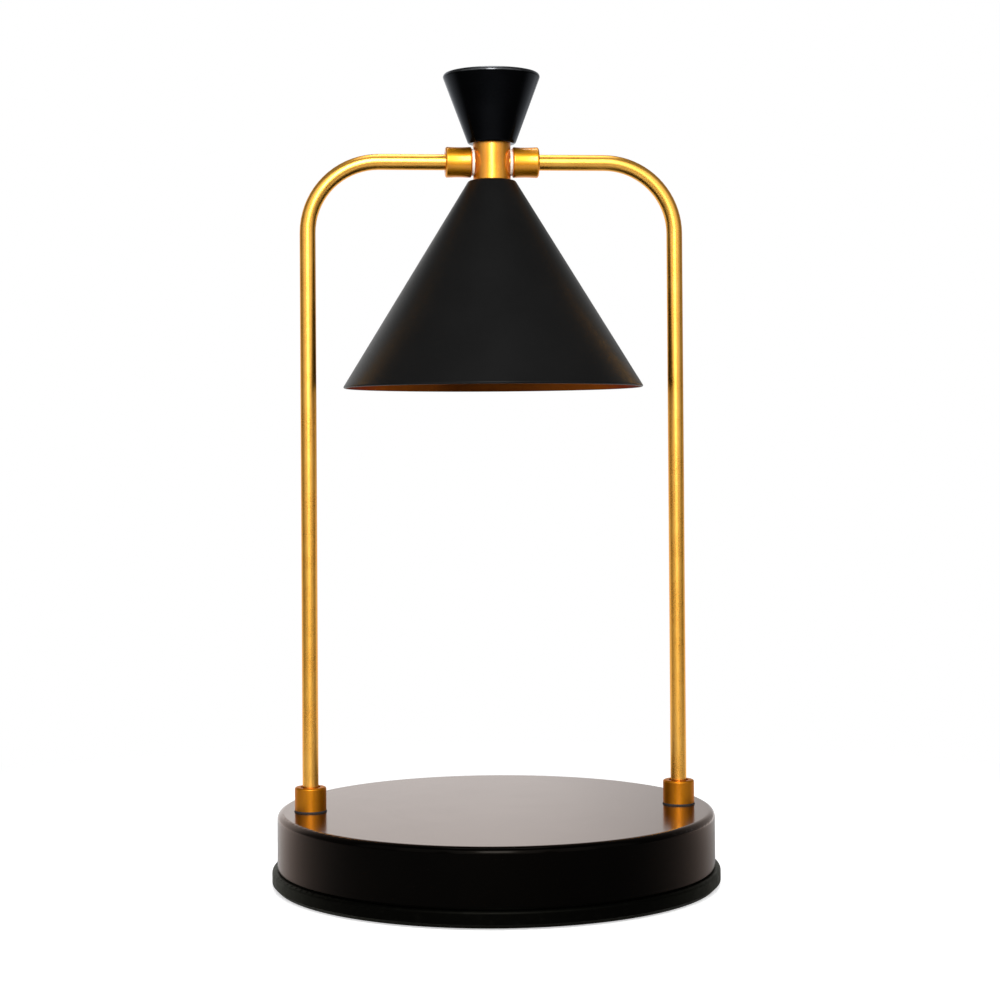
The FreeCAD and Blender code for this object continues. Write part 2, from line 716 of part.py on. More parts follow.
def make_cord_gland():
    """Snap-in bushing of the rear cord inlet, on an axis along Y."""
    flange_out = S.base_radius + S.gland_flange_thickness
    clip_out = shell_inside - S.hole_gap
    clip_in = clip_out - S.gland_clip_length
    corners = [
        (clip_in, S.gland_bore),
        (flange_out, S.gland_bore),
        (flange_out, S.gland_flange),
        (S.base_radius, S.gland_flange),
        (S.base_radius, S.gland_neck),
        (clip_out, S.gland_neck),
        (clip_out, S.gland_clip),
        (clip_in, S.gland_neck),
    ]
    body = turned("cord_gland", corners, "YZ_Plane", "H_Axis", up=gland_height)
    soften(body, S.gland_flange, flange_out, S.gland_round, direction=Vector(0, 1, 0))
    return body


def block_spots():
    """Places of the terminal block's four clamp screws."""
    spots = []
    for end in (-1, 1):
        for pole in (-1, 1):
            spots.append((S.well_offset * end, block_setback + S.block_pitch * (pole / 2)))
    return spots


def make_terminal_block():
    body = new_body("terminal_block")
    outline = new_sketch(body, "XY_Plane", lift=ballast_top)
    draw_rectangle(outline, S.block_length, S.block_depth, 0, block_setback)
    pad(body, outline, S.block_height)
    wells = new_sketch(body, "XY_Plane", lift=block_top)
    for x, y in block_spots():
        draw_circle(wells, S.well_radius, x, y)
    pocket(body, wells, S.block_height - S.block_wire_height)
    channels = new_sketch(body, "YZ_Plane", up=ballast_top)
    for pole in (-1, 1):
        y = block_setback + S.block_pitch * (pole / 2)
        draw_circle(channels, S.block_wire_radius, y, S.block_wire_height)
    pocket(body, channels, S.block_length, Midplane=True)
    hole = new_sketch(body, "XY_Plane", lift=block_top)
    draw_circle(hole, S.block_screw_radius + S.hole_gap, 0, block_setback)
    pocket(body, hole, S.block_height)
    sink = new_sketch(body, "XY_Plane", lift=block_top)
    draw_circle(sink, S.block_screw_head + S.slip_gap, 0, block_setback)
    pocket(body, sink, S.block_screw_sink)
    return body


def make_terminal_screws():
    """Clamp screws, each with its foot at the top of its pole's wire channel."""
    body = new_body("terminal_screws")
    foot = ballast_top + S.block_wire_height + S.block_wire_radius
    sketch = new_sketch(body, "XY_Plane", lift=foot)
    for x, y in block_spots():
        draw_circle(sketch, S.clamp_screw_radius, x, y)
    pad(body, sketch, S.clamp_screw_length)
    return body


def make_block_screw():
    seat = block_top - S.block_screw_sink
    corners = [
        (0, -S.block_screw_length),
        (S.block_screw_radius, -S.block_screw_length),
        (S.block_screw_radius, 0),
        (S.block_screw_head, 0),
        (S.block_screw_head, S.block_screw_head_height),
        (0, S.block_screw_head_height),
    ]
    body = turned("block_screw", corners)
    place(body, 0, block_setback, seat)
    return body


# Posts, collars and sleeves; side is -1 on the left and 1 on the right

def make_post(label, side):
    """A tube from its collar up, round one bend and in to the hub."""
    body = new_body(label)
    foot = S.base_height + S.collar_floor
    bend_top = S.bar_height
    bend_low = S.bar_height - S.post_bend
    bend_in = post_offset - S.post_bend
    path = new_sketch(body, "XZ_Plane")
    corner = Vector(side * post_offset.value, bend_low.value, 0)
    turn = Vector(side * bend_in.value, bend_top.value, 0)
    start = Vector(corner.x, foot.value, 0)
    end = Vector(side * S.stub_end.value, turn.y, 0)
    upright = path.addGeometry(Part.LineSegment(start, corner), False)
    arc = path.addGeometry(arc_between(corner, turn, side * S.post_bend.value), False)
    bar = path.addGeometry(Part.LineSegment(turn, end), False)
    corner_end, turn_end = (1, 2) if side > 0 else (2, 1)
    path.addConstraint(Sketcher.Constraint("Coincident", upright, 2, arc, corner_end))
    path.addConstraint(Sketcher.Constraint("Coincident", arc, turn_end, bar, 1))
    hold_point(path, upright, 1, post_offset * side, foot)
    hold_point(path, upright, 2, post_offset * side, bend_low)
    hold_point(path, bar, 1, bend_in * side, bend_top)
    hold_point(path, bar, 2, S.stub_end * side, bend_top)
    constrain(path, "Radius", (arc,), S.post_bend)
    section = new_sketch(body, "XY_Plane", lift=foot)
    draw_circle(section, S.post_radius, post_offset * side)
    draw_circle(section, S.post_radius - S.post_wall, post_offset * side)
    doc.recompute()
    pipe = body.newObject("PartDesign::AdditivePipe", f"{label}_pipe")
    pipe.Profile = section
    pipe.Spine = (path, ["Edge1", "Edge2", "Edge3"])
    doc.recompute()
    return body


def grub_hole(body, reach, height, across=None):
    """Cut a set screw's hole from the axis out through the rear wall."""
    sketch = new_sketch(body, "XZ_Plane", across=across)
    draw_circle(sketch, S.grub_radius + S.thread_gap, 0, height)
    pocket(body, sketch, reach)


def make_collar(label, side):
    """Collar on a post's foot: it sits in the shell's seat, and its tail goes through the shell."""
    groove = S.collar_height - S.mouth_depth
    corners = [
        (S.tail_bore, -tail_length),
        (S.tail_radius, -tail_length),
        (S.tail_radius, -S.collar_seat),
        (S.collar_radius, -S.collar_seat),
        (S.collar_radius, S.collar_height),
        (mouth_radius, S.collar_height),
        (mouth_radius, groove),
        (socket_radius, groove),
        (socket_radius, S.collar_floor),
        (S.tail_bore, S.collar_floor),
    ]
    body = turned(label, corners)
    soften(body, S.collar_radius, S.collar_height, S.collar_round)
    grub_hole(body, S.collar_radius, S.collar_height / 2)
    place(body, post_offset * side, 0, S.base_height)
    return body


def make_collar_washers():
    body = new_body("collar_washers")
    sketch = new_sketch(body, "XY_Plane", lift=shell_under - S.washer_thickness)
    draw_circle(sketch, S.washer_radius, post_offset)
    draw_circle(sketch, S.tail_radius + S.hole_gap, post_offset)
    ring = pad(body, sketch, S.washer_thickness)
    repeat_across(body, [ring])
    return body


def make_collar_nuts():
    body = new_body("collar_nuts")
    low = shell_under - S.washer_thickness - S.nut_height
    sketch = new_sketch(body, "XY_Plane", lift=low)
    draw_hexagon(sketch, S.nut_flats, post_offset)
    draw_circle(sketch, S.tail_radius + S.thread_gap, post_offset)
    nut = pad(body, sketch, S.nut_height)
    repeat_across(body, [nut])
    return body


def make_sleeve(label, side):
    """Sleeve clamped on the crossbar beside the hub, with a shallow waist."""
    start = sleeve_start * side
    end = (sleeve_start + S.sleeve_length) * side
    groove = end - S.mouth_depth * side
    corners = [
        (start, socket_radius),
        (groove, socket_radius),
        (groove, mouth_radius),
        (end, mouth_radius),
        (end, S.sleeve_radius, S.sleeve_waist_arc * -side),
        (start, S.sleeve_radius),
    ]
    body = turned(label, corners, axis="H_Axis", up=S.bar_height)
    soften(body, S.sleeve_radius, end, S.sleeve_round, direction=Vector(1, 0, 0))
    soften(body, S.sleeve_radius, start, S.sleeve_inner_round, direction=Vector(1, 0, 0))
    grub_hole(body, S.sleeve_radius, S.bar_height, across=sleeve_middle * side)
    return body


def make_friction_washers():
    """A ring with a rounded rim on each side of the hub."""
    near = ear_reach + S.face_gap
    far = near + S.friction_washer_thickness
    rim = S.sleeve_radius - S.friction_washer_inset
    corners = [
        (near, socket_radius),
        (far, socket_radius),
        (far, rim, S.friction_washer_bulge),
        (near, rim),
    ]
    body = turned("friction_washers", corners, axis="H_Axis", up=S.bar_height)
    repeat_across(body, [body.Tip])
    return body


def make_set_screws(label, across, height):
    """Two set screws at the back, each with its point on its tube."""
    body = new_body(label)
    sketch = new_sketch(body, "XZ_Plane", lift=-(S.post_radius + S.thread_gap))
    draw_circle(sketch, S.grub_radius, across, height)
    screw = pad(body, sketch, S.grub_length, Reversed=True)
    outer = new_sketch(body, "XZ_Plane", lift=-(S.post_radius + S.thread_gap + S.grub_length))
    draw_hexagon(outer, S.grub_socket, across, height)
    socket = pocket(body, outer, S.grub_length / 2, Reversed=True)
    repeat_across(body, [screw, socket])
    return body


def make_stand_lead():
    """Lead from the terminal block round the ballast, up the left post and in to the hub."""
    low = lead_low.value
    height = (ballast_top + S.block_wire_height).value
    post = -post_offset.value
    back = block_setback.value
    bar = S.bar_height.value
    sweep = S.lead_sweep.value
    corner = S.lead_corner.value
    points = [
        Vector(-S.block_length.value / 2, back, height),
        Vector(post + corner, back, height),
        Vector(post, back - corner, low),
        Vector(post, 0, low),
        Vector(post, 0, bar),
        Vector(-S.lead_end.value, 0, bar),
    ]
    turns = [sweep, sweep, S.lead_turn.value, S.post_bend.value]
    return add_feature("stand_lead", pipe_along("stand_lead", points, turns, S.lead_radius.value))


# Head

def make_hub():
    """Turned hub with a flat recess each side; the tubes' ends are its axle."""
    corners = [
        (0, hub_bottom),
        (S.hub_radius, hub_bottom),
        (S.hub_radius, hub_top),
        (0, hub_top),
    ]
    body = turned("hub", corners)
    soften(body, S.hub_radius, hub_bottom, S.hub_round)
    recess = new_sketch(body, "YZ_Plane", up=S.bar_height, lift=ear_reach)
    draw_circle(recess, S.sleeve_radius - S.friction_washer_inset + S.ear_recess)
    side_cut = pocket(body, recess, S.ear_depth, Reversed=True)
    repeat_across(body, [side_cut])
    axle = new_sketch(body, "YZ_Plane", up=S.bar_height)
    draw_circle(axle, socket_radius)
    pocket(body, axle, ear_reach * 2, Midplane=True)
    passage = new_sketch(body, "XY_Plane", lift=hub_bottom)
    draw_circle(passage, S.nipple_radius + S.thread_gap)
    pocket(body, passage, hub_height - S.stud_in_hub, Reversed=True)
    top = new_sketch(body, "XY_Plane", lift=hub_top)
    draw_circle(top, S.stud_radius + S.thread_gap)
    pocket(body, top, S.stud_in_hub)
    return body


def make_finial():
    top = hub_top + S.finial_height
    hole = S.stud_radius + S.thread_gap
    hole_top = hub_top + S.stud_in_finial + S.slip_gap
    corners = [
        (hole, hub_top),
        (S.finial_foot, hub_top),
        (S.finial_top, top),
        (0, top),
        (0, hole_top),
        (hole, hole_top),
    ]
    body = turned("finial", corners)
    soften(body, S.finial_top, top, S.finial_round)
    soften(body, S.finial_foot, hub_top, S.finial_foot_round)
    return body


def make_finial_stud():
    low = hub_top - S.stud_in_hub
    high = hub_top + S.stud_in_finial
    corners = [(0, low), (S.stud_radius, low), (S.stud_radius, high), (0, high)]
    return turned("finial_stud", corners)


def make_shade():
    """Spun cone with a small flat top that is clamped against the hub."""
    hole = S.nipple_radius + S.hole_gap
    corners = [
        (hole, shade_under),
        (shade_neck_inside, shade_under),
        (shade_rim - shade_across, rim_height),
        (shade_rim, rim_height),
        (S.shade_neck, hub_bottom),
        (hole, hub_bottom),
    ]
    body = turned("shade", corners)
    soften(body, S.shade_neck, hub_bottom, S.shade_round)
    return body


def make_shade_washer():
    outside = shade_neck_inside - S.slip_gap
    inside = S.nipple_radius + S.hole_gap
    return tube_between("shade_washer", outside, inside, shade_washer_low, shade_under)


def make_nut_on_nipple(label, low, height):
    body = new_body(label)
    sketch = new_sketch(body, "XY_Plane", lift=low)
    draw_hexagon(sketch, S.nut_flats)
    draw_circle(sketch, S.nipple_radius + S.thread_gap)
    pad(body, sketch, height)
    return body


def holder_screw_spots():
    return [(0, holder_screw_offset * side) for side in (-1, 1)]


def make_plate(label, low, thickness, middle_radius):
    """A disc over the lampholder with a middle hole and two screw holes."""
    body = new_body(label)
    sketch = new_sketch(body, "XY_Plane", lift=low)
    draw_circle(sketch, S.holder_radius - S.plate_inset)
    draw_circle(sketch, middle_radius)
    for x, y in holder_screw_spots():
        draw_circle(sketch, S.holder_screw_radius + S.thread_gap, x, y)
    pad(body, sketch, thickness)
    return body


def make_lamp_holder():
    """Ceramic cup: an open chamber for the contacts behind a face with two keyholes."""
    body = new_body("lamp_holder")
    outside = new_sketch(body, "XY_Plane", lift=holder_bottom)
    draw_circle(outside, S.holder_radius)
    pad(body, outside, S.holder_height)
    soften(body, S.holder_radius, holder_bottom, S.holder_chamfer, "Chamfer")
    chamber = new_sketch(body, "XY_Plane", lift=holder_top)
    draw_circle(chamber, chamber_radius)
    pocket(body, chamber, S.holder_height - S.holder_face)
    barrier = new_sketch(body, "XY_Plane", lift=chamber_floor)
    draw_rectangle(barrier, S.barrier_width, (chamber_radius + S.slip_gap) * 2)
    pad(body, barrier, S.barrier_height)
    locked = (S.pin_offset, as_size(0))
    free = (S.pin_offset * cosine(S.bulb_twist), S.pin_offset * sine(S.bulb_twist))
    cuts = []
    for (x, y), radius in ((locked, S.pin_shank), (free, S.pin_head)):
        keyhole = new_sketch(body, "XY_Plane", lift=holder_bottom)
        draw_circle(keyhole, radius + S.pin_play, x, y)
        cuts.append(pocket(body, keyhole, S.holder_face, Reversed=True))
    repeat_round(body, cuts, 2)
    threads = new_sketch(body, "XY_Plane", lift=holder_top)
    for x, y in holder_screw_spots():
        draw_circle(threads, S.holder_screw_radius + S.thread_gap, x, y)
    pocket(body, threads, S.holder_screw_length)
    return body


def make_holder_screws():
    body = new_body("holder_screws")
    shank = new_sketch(body, "XY_Plane", lift=plate_top - S.holder_screw_length)
    head = new_sketch(body, "XY_Plane", lift=plate_top)
    for x, y in holder_screw_spots():
        draw_circle(shank, S.holder_screw_radius, x, y)
        draw_circle(head, S.holder_screw_head, x, y)
    pad(body, shank, S.holder_screw_length)
    pad(body, head, S.holder_screw_head_height)
    return body


def make_contacts():
    """Brass angles over the pins' ends; each tab stands against the chamber's wall."""
    reach = chamber_radius - S.hole_gap
    thick = S.contact_thickness
    top = contact_under + S.contact_tab
    body = new_body("holder_contacts")
    sketch = new_sketch(body, "XZ_Plane")
    draw_outline(sketch, [
        (S.pin_offset - S.contact_foot, contact_under),
        (reach, contact_under),
        (reach, top),
        (reach - thick, top),
        (reach - thick, contact_under + thick),
        (S.pin_offset - S.contact_foot, contact_under + thick),
    ])
    angle = pad(body, sketch, S.contact_width, Midplane=True)
    repeat_across(body, [angle])
    return body


def make_head_leads():
    """Two cores from the hub's middle down the nipple to the contacts."""
    top = S.bar_height.value
    split = (holder_top - S.core_drop).value
    foot = (contact_under + S.contact_thickness).value
    turn = S.core_turn.value
    cores = []
    for side in (-1, 1):
        y = side * S.core_offset.value
        x = side * S.pin_offset.value
        points = [
            Vector(0, y, top),
            Vector(0, y, split),
            Vector(x, y, split),
            Vector(x, y, foot),
        ]
        cores.append(pipe_along("head_leads", points, [turn, turn], S.core_radius.value))
    return add_feature("head_leads", Part.makeCompound(cores))


# Bulb

def make_bulb_base():
    """Ceramic base with a hole in its lower end for the capsule's stem."""
    shoulder = bulb_top - S.bulb_base_height
    stem = S.capsule_stem + S.thread_gap
    stem_top = bulb_neck + S.capsule_stem_length + S.slip_gap
    corners = [
        (stem, bulb_neck),
        (S.bulb_neck_radius, bulb_neck),
        (S.bulb_base_radius, shoulder),
        (S.bulb_base_radius, bulb_top),
        (0, bulb_top),
        (0, stem_top),
        (stem, stem_top),
    ]
    body = turned("bulb_base", corners)
    soften(body, S.bulb_base_radius, bulb_top, S.bulb_base_round)
    return body


def make_bulb_pins():
    body = new_body("bulb_pins")
    shank = new_sketch(body, "XY_Plane", lift=bulb_top)
    head = new_sketch(body, "XY_Plane", lift=pin_head_low)
    for side in (-1, 1):
        draw_circle(shank, S.pin_shank, S.pin_offset * side)
        draw_circle(head, S.pin_head, S.pin_offset * side)
    pad(body, shank, pin_head_low - bulb_top)
    pad(body, head, pin_top - pin_head_low)
    return body


def make_bulb_reflector():
    """Bowl of pressed glass between the base and the front rim."""
    rim_top = bulb_front + S.bulb_rim_height
    inner_neck = S.bulb_neck_radius - S.bulb_glass
    inner_rim = S.bulb_radius - S.bulb_glass
    corners = [
        (inner_rim, bulb_front),
        (S.bulb_radius, bulb_front),
        (S.bulb_radius, rim_top, S.bulb_curve),
        (S.bulb_neck_radius, bulb_neck),
        (inner_neck, bulb_neck, -(S.bulb_curve - S.bulb_glass)),
        (inner_rim, rim_top),
    ]
    return turned("bulb_reflector", corners)


def make_bulb_lens():
    low = bulb_front + S.lens_recess
    high = low + S.lens_thickness
    edge = S.bulb_radius - S.bulb_glass - S.thread_gap
    corners = [(0, low), (edge, low), (edge, high), (0, high)]
    return turned("bulb_lens", corners)


def make_bulb_capsule():
    """Quartz capsule with a solid stem and a hollow, domed lower end."""
    low = bulb_neck - S.capsule_length
    dome = low + S.capsule_radius
    inner = S.capsule_radius - S.capsule_wall
    shoulder = bulb_neck - S.capsule_wall
    corners = [
        (0, low, S.capsule_radius),
        (S.capsule_radius, dome),
        (S.capsule_radius, bulb_neck - S.slip_gap),
        (S.capsule_stem, bulb_neck - S.slip_gap),
        (S.capsule_stem, bulb_neck + S.capsule_stem_length),
        (0, bulb_neck + S.capsule_stem_length),
        (0, shoulder - S.slip_gap),
        (inner, shoulder - S.slip_gap),
        (inner, dome, -inner),
        (0, low + S.capsule_wall),
    ]
    return turned("bulb_capsule", corners)


def make_bulb_filament():
    high = bulb_neck - S.capsule_wall - S.slip_gap
    low = high - S.filament_length
    corners = [(0, low), (S.filament_radius, low), (S.filament_radius, high), (0, high)]
    return turned("bulb_filament", corners)


parts = [
    make_base_shell(),
    make_bottom_tray(),
    make_rubber_feet(),
    make_ballast(),
    make_standoffs(),
    make_tray_screws(),
    make_cord_gland(),
    make_terminal_block(),
    make_terminal_screws(),
    make_block_screw(),
    make_post("post_left", -1),
    make_post("post_right", 1),
    make_collar("collar_left", -1),
    make_collar("collar_right", 1),
    make_collar_washers(),
    make_collar_nuts(),
    make_set_screws("collar_set_screws", post_offset, collar_middle),
    make_sleeve("sleeve_left", -1),
    make_sleeve("sleeve_right", 1),
    make_set_screws("sleeve_set_screws", sleeve_middle, S.bar_height),
    make_friction_washers(),
    make_stand_lead(),
    make_hub(),
    make_finial(),
    make_finial_stud(),
    make_shade(),
    tube_between("shade_nipple", S.nipple_radius, S.nipple_bore, holder_top, nipple_top),
    make_shade_washer(),
    make_nut_on_nipple("shade_nut", shade_nut_low, S.nut_height),
    make_nut_on_nipple("plate_nut", plate_top, S.plate_nut_height),
    make_plate("holder_plate", plate_under, S.plate_thickness, threaded_bore),
    make_plate("holder_insulator", holder_top, S.insulator_thickness, threaded_bore),
    make_lamp_holder(),
    make_holder_screws(),
    make_contacts(),
    make_head_leads(),
    make_bulb_base(),
    make_bulb_pins(),
    make_bulb_reflector(),
    make_bulb_lens(),
    make_bulb_capsule(),
    make_bulb_filament(),
]

doc.recompute()
for thing in doc.Objects:
    if "Invalid" in thing.State or "Error" in thing.State:
        raise RuntimeError(f"{thing.Label} failed: {thing.State}")
for piece in parts:
    if piece.Shape.isNull() or not piece.Shape.isValid():
        raise RuntimeError(f"{piece.Label} has no valid shape")

os.makedirs("parts", exist_ok=True)
for piece in parts:
    piece.Shape.exportStep(f"parts/{piece.Label}.step")
    print(f"{piece.Label}: {len(piece.Shape.Solids)} solids, {piece.Shape.Volume:.1f} mm3")
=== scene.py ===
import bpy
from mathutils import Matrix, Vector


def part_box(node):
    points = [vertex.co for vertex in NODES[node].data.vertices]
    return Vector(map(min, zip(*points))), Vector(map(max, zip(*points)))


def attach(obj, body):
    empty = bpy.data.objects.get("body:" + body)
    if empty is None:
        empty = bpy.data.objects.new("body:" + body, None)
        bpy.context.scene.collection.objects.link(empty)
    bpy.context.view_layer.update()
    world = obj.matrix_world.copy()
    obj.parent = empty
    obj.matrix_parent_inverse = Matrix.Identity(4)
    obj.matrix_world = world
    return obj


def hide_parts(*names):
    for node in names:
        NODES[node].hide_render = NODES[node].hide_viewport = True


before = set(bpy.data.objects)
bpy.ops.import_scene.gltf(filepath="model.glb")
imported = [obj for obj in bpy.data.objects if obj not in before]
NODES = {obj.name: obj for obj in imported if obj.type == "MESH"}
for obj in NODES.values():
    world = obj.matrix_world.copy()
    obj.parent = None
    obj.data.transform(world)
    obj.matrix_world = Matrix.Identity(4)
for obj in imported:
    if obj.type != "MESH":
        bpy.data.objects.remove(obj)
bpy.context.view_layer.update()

import math

import bmesh
import bpy
from mathutils import Quaternion, Vector

# Candle warmer lamp: a finish for every piece, finer meshes for the shade, the finial and the
# bulb, black rings at the feet of the collars that also paint in their shadow lines, and the
# studio.
# +Z is up, X runs along the crossbar, -Y is the front. Materials, camera and studio are in
# metres. Sizes and outlines of pieces are in millimetres.

MM = 0.001


# Node graphs

# Sockets of a Mix node by what it mixes: its two inputs and its output
MIX_SOCKETS = {"RGBA": (6, 7, 2), "VECTOR": (4, 5, 1)}


class Graph:
    """A node tree, with a method for each kind of node that is used in it."""

    def __init__(self, tree):
        self.tree = tree

    def add(self, kind, **settings):
        node = self.tree.nodes.new(kind)
        for key, value in settings.items():
            setattr(node, key, value)
        return node

    def feed(self, socket, value):
        """Link a socket to another one, or set it to a number or a colour."""
        if isinstance(value, bpy.types.NodeSocket):
            self.tree.links.new(value, socket)
        else:
            socket.default_value = value

    def run(self, node, *values):
        """Feed the first inputs of a node and give its first output."""
        for socket, value in zip(node.inputs, values):
            self.feed(socket, value)
        return node.outputs[0]

    def math(self, operation, *values):
        return self.run(self.add("ShaderNodeMath", operation=operation), *values)

    def vector(self, operation, *values):
        return self.run(self.add("ShaderNodeVectorMath", operation=operation), *values)

    def split(self, vector):
        node = self.add("ShaderNodeSeparateXYZ")
        self.feed(node.inputs[0], vector)
        return node.outputs

    def join(self, x, y, z):
        return self.run(self.add("ShaderNodeCombineXYZ"), x, y, z)

    def hypot(self, x, y):
        """Length of the vector (x, y)."""
        squares = [self.math("MULTIPLY", value, value) for value in (x, y)]
        return self.math("SQRT", self.math("ADD", *squares))

    def towards(self, x, y, way):
        """How far the point (x, y) lies in a level direction, a pair of numbers."""
        parts = [self.math("MULTIPLY", *pair) for pair in zip((x, y), way)]
        return self.math("ADD", *parts)

    def complement(self, share):
        return self.math("SUBTRACT", 1.0, share)

    def mix(self, share, one, other):
        """Go from one number to the other as share goes from 0 to 1."""
        return self.math("ADD", self.math("MULTIPLY", self.complement(share), one),
                         self.math("MULTIPLY", share, other))

    def span(self, value, low, high, start=0.3, end=0.7):
        """Spread a value between start and end over low to high."""
        return self.run(self.add("ShaderNodeMapRange"), value, start, end, low, high)

    def ease(self, value, start, end):
        """Rise smoothly from 0 to 1 between start and end."""
        node = self.add("ShaderNodeMapRange", interpolation_type="SMOOTHSTEP")
        return self.run(node, value, start, end)

    def blend(self, share, one, other, kind="RGBA"):
        """Mix two colours, or two vectors."""
        node = self.add("ShaderNodeMix", data_type=kind)
        first, second, result = MIX_SOCKETS[kind]
        for index, value in ((0, share), (first, one), (second, other)):
            self.feed(node.inputs[index], value)
        return node.outputs[result]


# How far the noise of turning marks moves for a radian round the piece
MARK_LENGTH = 0.1 * MM
# Less than this counts as on the axis
AXIS_RADIUS = 0.001
# Cosine from which on a face counts as facing the way that a shape's exact normal says
NORMAL_AGREES = 0.8


class Finish(Graph):
    """A Principled material and the nodes that vary its colour, roughness and relief."""

    def __init__(self, name, **constants):
        self.material = bpy.data.materials.new(name)
        self.material.use_nodes = True
        super().__init__(self.material.node_tree)
        self.shader = self.tree.nodes["Principled BSDF"]
        self.set(**constants)
        self.place = self.add("ShaderNodeTexCoord").outputs["Object"]

    def set(self, **values):
        for key, value in values.items():
            self.feed(self.shader.inputs[key.replace("_", " ")], value)
        return self.material

    def noise(self, size, detail=2.0, where=None, roughness=0.5):
        """Noise from 0 to 1 with features of about that size in metres."""
        node = self.add("ShaderNodeTexNoise")
        self.feed(node.inputs["Vector"], self.place if where is None else where)
        node.inputs["Scale"].default_value = 1 / size
        node.inputs["Detail"].default_value = detail
        node.inputs["Roughness"].default_value = roughness
        return node.outputs["Fac"]

    def cells(self, size):
        """Distance to the middle of the nearest of many cells of about that size in metres."""
        node = self.add("ShaderNodeTexVoronoi")
        self.feed(node.inputs["Vector"], self.place)
        node.inputs["Scale"].default_value = 1 / size
        return node.outputs["Distance"]

    def lathe_marks(self, pitch, centre=(0, 0, 0), axis="Z"):
        """Noise that varies along a turned piece's radius and axis and hardly round it."""
        local = self.split(self.vector("SUBTRACT", self.place, centre))
        order = {"X": (1, 2, 0), "Z": (0, 1, 2)}[axis]
        u, v, along = (local[i] for i in order)
        around = self.math("MULTIPLY", self.math("ARCTAN2", v, u), MARK_LENGTH)
        return self.noise(pitch, 3.0, self.join(self.hypot(u, v), along, around))

    def turned_normal(self, radius, height, size):
        """Exact normal of an upright cylinder with a rounded top edge, sizes in millimetres.

        Faces that point another way than that cylinder's keep their own normal.
        """
        x, y, z = self.split(self.place)
        out = self.hypot(x, y)
        across = self.math("MAXIMUM", self.math("SUBTRACT", out, (radius - size) * MM), 0.0)
        up = self.math("MAXIMUM", self.math("SUBTRACT", z, (height - size) * MM), 0.0)
        share = self.math("DIVIDE", across, self.math("MAXIMUM", out, AXIS_RADIUS * MM))
        level = [self.math("MULTIPLY", value, share) for value in (x, y)]
        normal = self.vector("NORMALIZE", self.join(*level, up))
        face = self.add("ShaderNodeNewGeometry").outputs["True Normal"]
        agree = self.add("ShaderNodeVectorMath", operation="DOT_PRODUCT")
        self.run(agree, normal, face)
        use = self.math("GREATER_THAN", agree.outputs["Value"], NORMAL_AGREES)
        return self.blend(use, face, normal, "VECTOR")

    def relief(self, height, depth, strength, under=None):
        """Bump from a height between 0 and 1, depth in metres."""
        node = self.add("ShaderNodeBump")
        node.inputs["Strength"].default_value = strength
        node.inputs["Distance"].default_value = depth
        self.feed(node.inputs["Height"], height)
        if under is not None:
            self.feed(node.inputs["Normal"], under)
        return node.outputs[0]

    def shades(self, cloud, dark, light, start=0.3, end=0.7):
        """Colours from dark to light, as a noise goes from start to end."""
        return self.blend(self.span(cloud, 0, 1, start, end), dark, light)

    def uneven(self, marks, low, high, cloud, swing):
        """Spread one noise over low to high, and shift it up and down by another."""
        return self.math("ADD", self.span(marks, low, high), self.span(cloud, -swing, swing))


def grey(level):
    return (level, level, level, 1.0)


def dark_metal(name, **constants):
    """Black surfaces with hardly any reflection head on and a strong one at a low angle."""
    return Finish(name, Metallic=1.0, **constants)


# Finishes

# Outlines of the base shell and of the tray's lip: radius, height and round of the top edge
shell_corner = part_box("base_shell")[1]
SHELL_RADIUS = shell_corner.x / MM
SHELL_HEIGHT = shell_corner.z / MM
SHELL_ROUND = 2.4
LIP_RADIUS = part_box("bottom_tray")[1].x / MM
LIP_HEIGHT = 7.1
LIP_ROUND = 1.3


def make_shell_paint():
    """Satin black-bronze finish on spun sheet metal, with faint turning marks under it."""
    f = dark_metal("shell_paint", Specular_Tint=(1.0, 0.85, 0.78, 1),
                   Coat_Weight=1.0, Coat_IOR=1.09, Coat_Roughness=0.14)
    marks = f.lathe_marks(0.45 * MM)
    cloud = f.noise(22 * MM, 3.0)
    grain = f.noise(0.25 * MM, 1.0)
    colour = f.shades(cloud, (0.0012, 0.0009, 0.0005, 1), (0.0019, 0.0014, 0.0009, 1))
    rough = f.uneven(marks, 0.19, 0.21, cloud, 0.008)
    normal = f.turned_normal(SHELL_RADIUS, SHELL_HEIGHT, SHELL_ROUND)
    normal = f.relief(marks, 0.001 * MM, 0.06, normal)
    return f.set(Base_Color=colour, Roughness=rough,
                 Normal=f.relief(grain, 0.002 * MM, 0.15, normal))


def make_tray_plastic():
    """Moulded black plastic with a fine spark-eroded grain and a few scuffs."""
    f = dark_metal("tray_plastic", Specular_Tint=(0.78, 0.78, 0.73, 1))
    grain = f.noise(0.4 * MM, 3.0)
    scuff = f.noise(3.5 * MM, 6.0, roughness=0.72)
    colour = f.shades(scuff, (0.0026, 0.0026, 0.0021, 1), (0.006, 0.006, 0.005, 1), 0.55, 0.75)
    normal = f.turned_normal(LIP_RADIUS, LIP_HEIGHT, LIP_ROUND)
    return f.set(Base_Color=colour, Roughness=f.span(scuff, 0.34, 0.50),
                 Normal=f.relief(grain, 0.012 * MM, 0.5, normal))


# Dark and light tone of the plating on drawn tube, on turned pieces and on the collars. The tube's
# tones are lighter as painted light, for the brighter reflections on the posts; the collars'
# darker tones are partly a duller finish and partly painted shade, for their low, less lit place.
GOLD_DRAWN_LIT = ((0.92, 0.40, 0.038, 1), (0.98, 0.55, 0.095, 1))
GOLD_TURNED = ((0.74, 0.25, 0.003, 1), (0.90, 0.43, 0.016, 1))
GOLD_CAST_SHADED = ((0.46, 0.140, 0.001, 1), (0.60, 0.225, 0.003, 1))


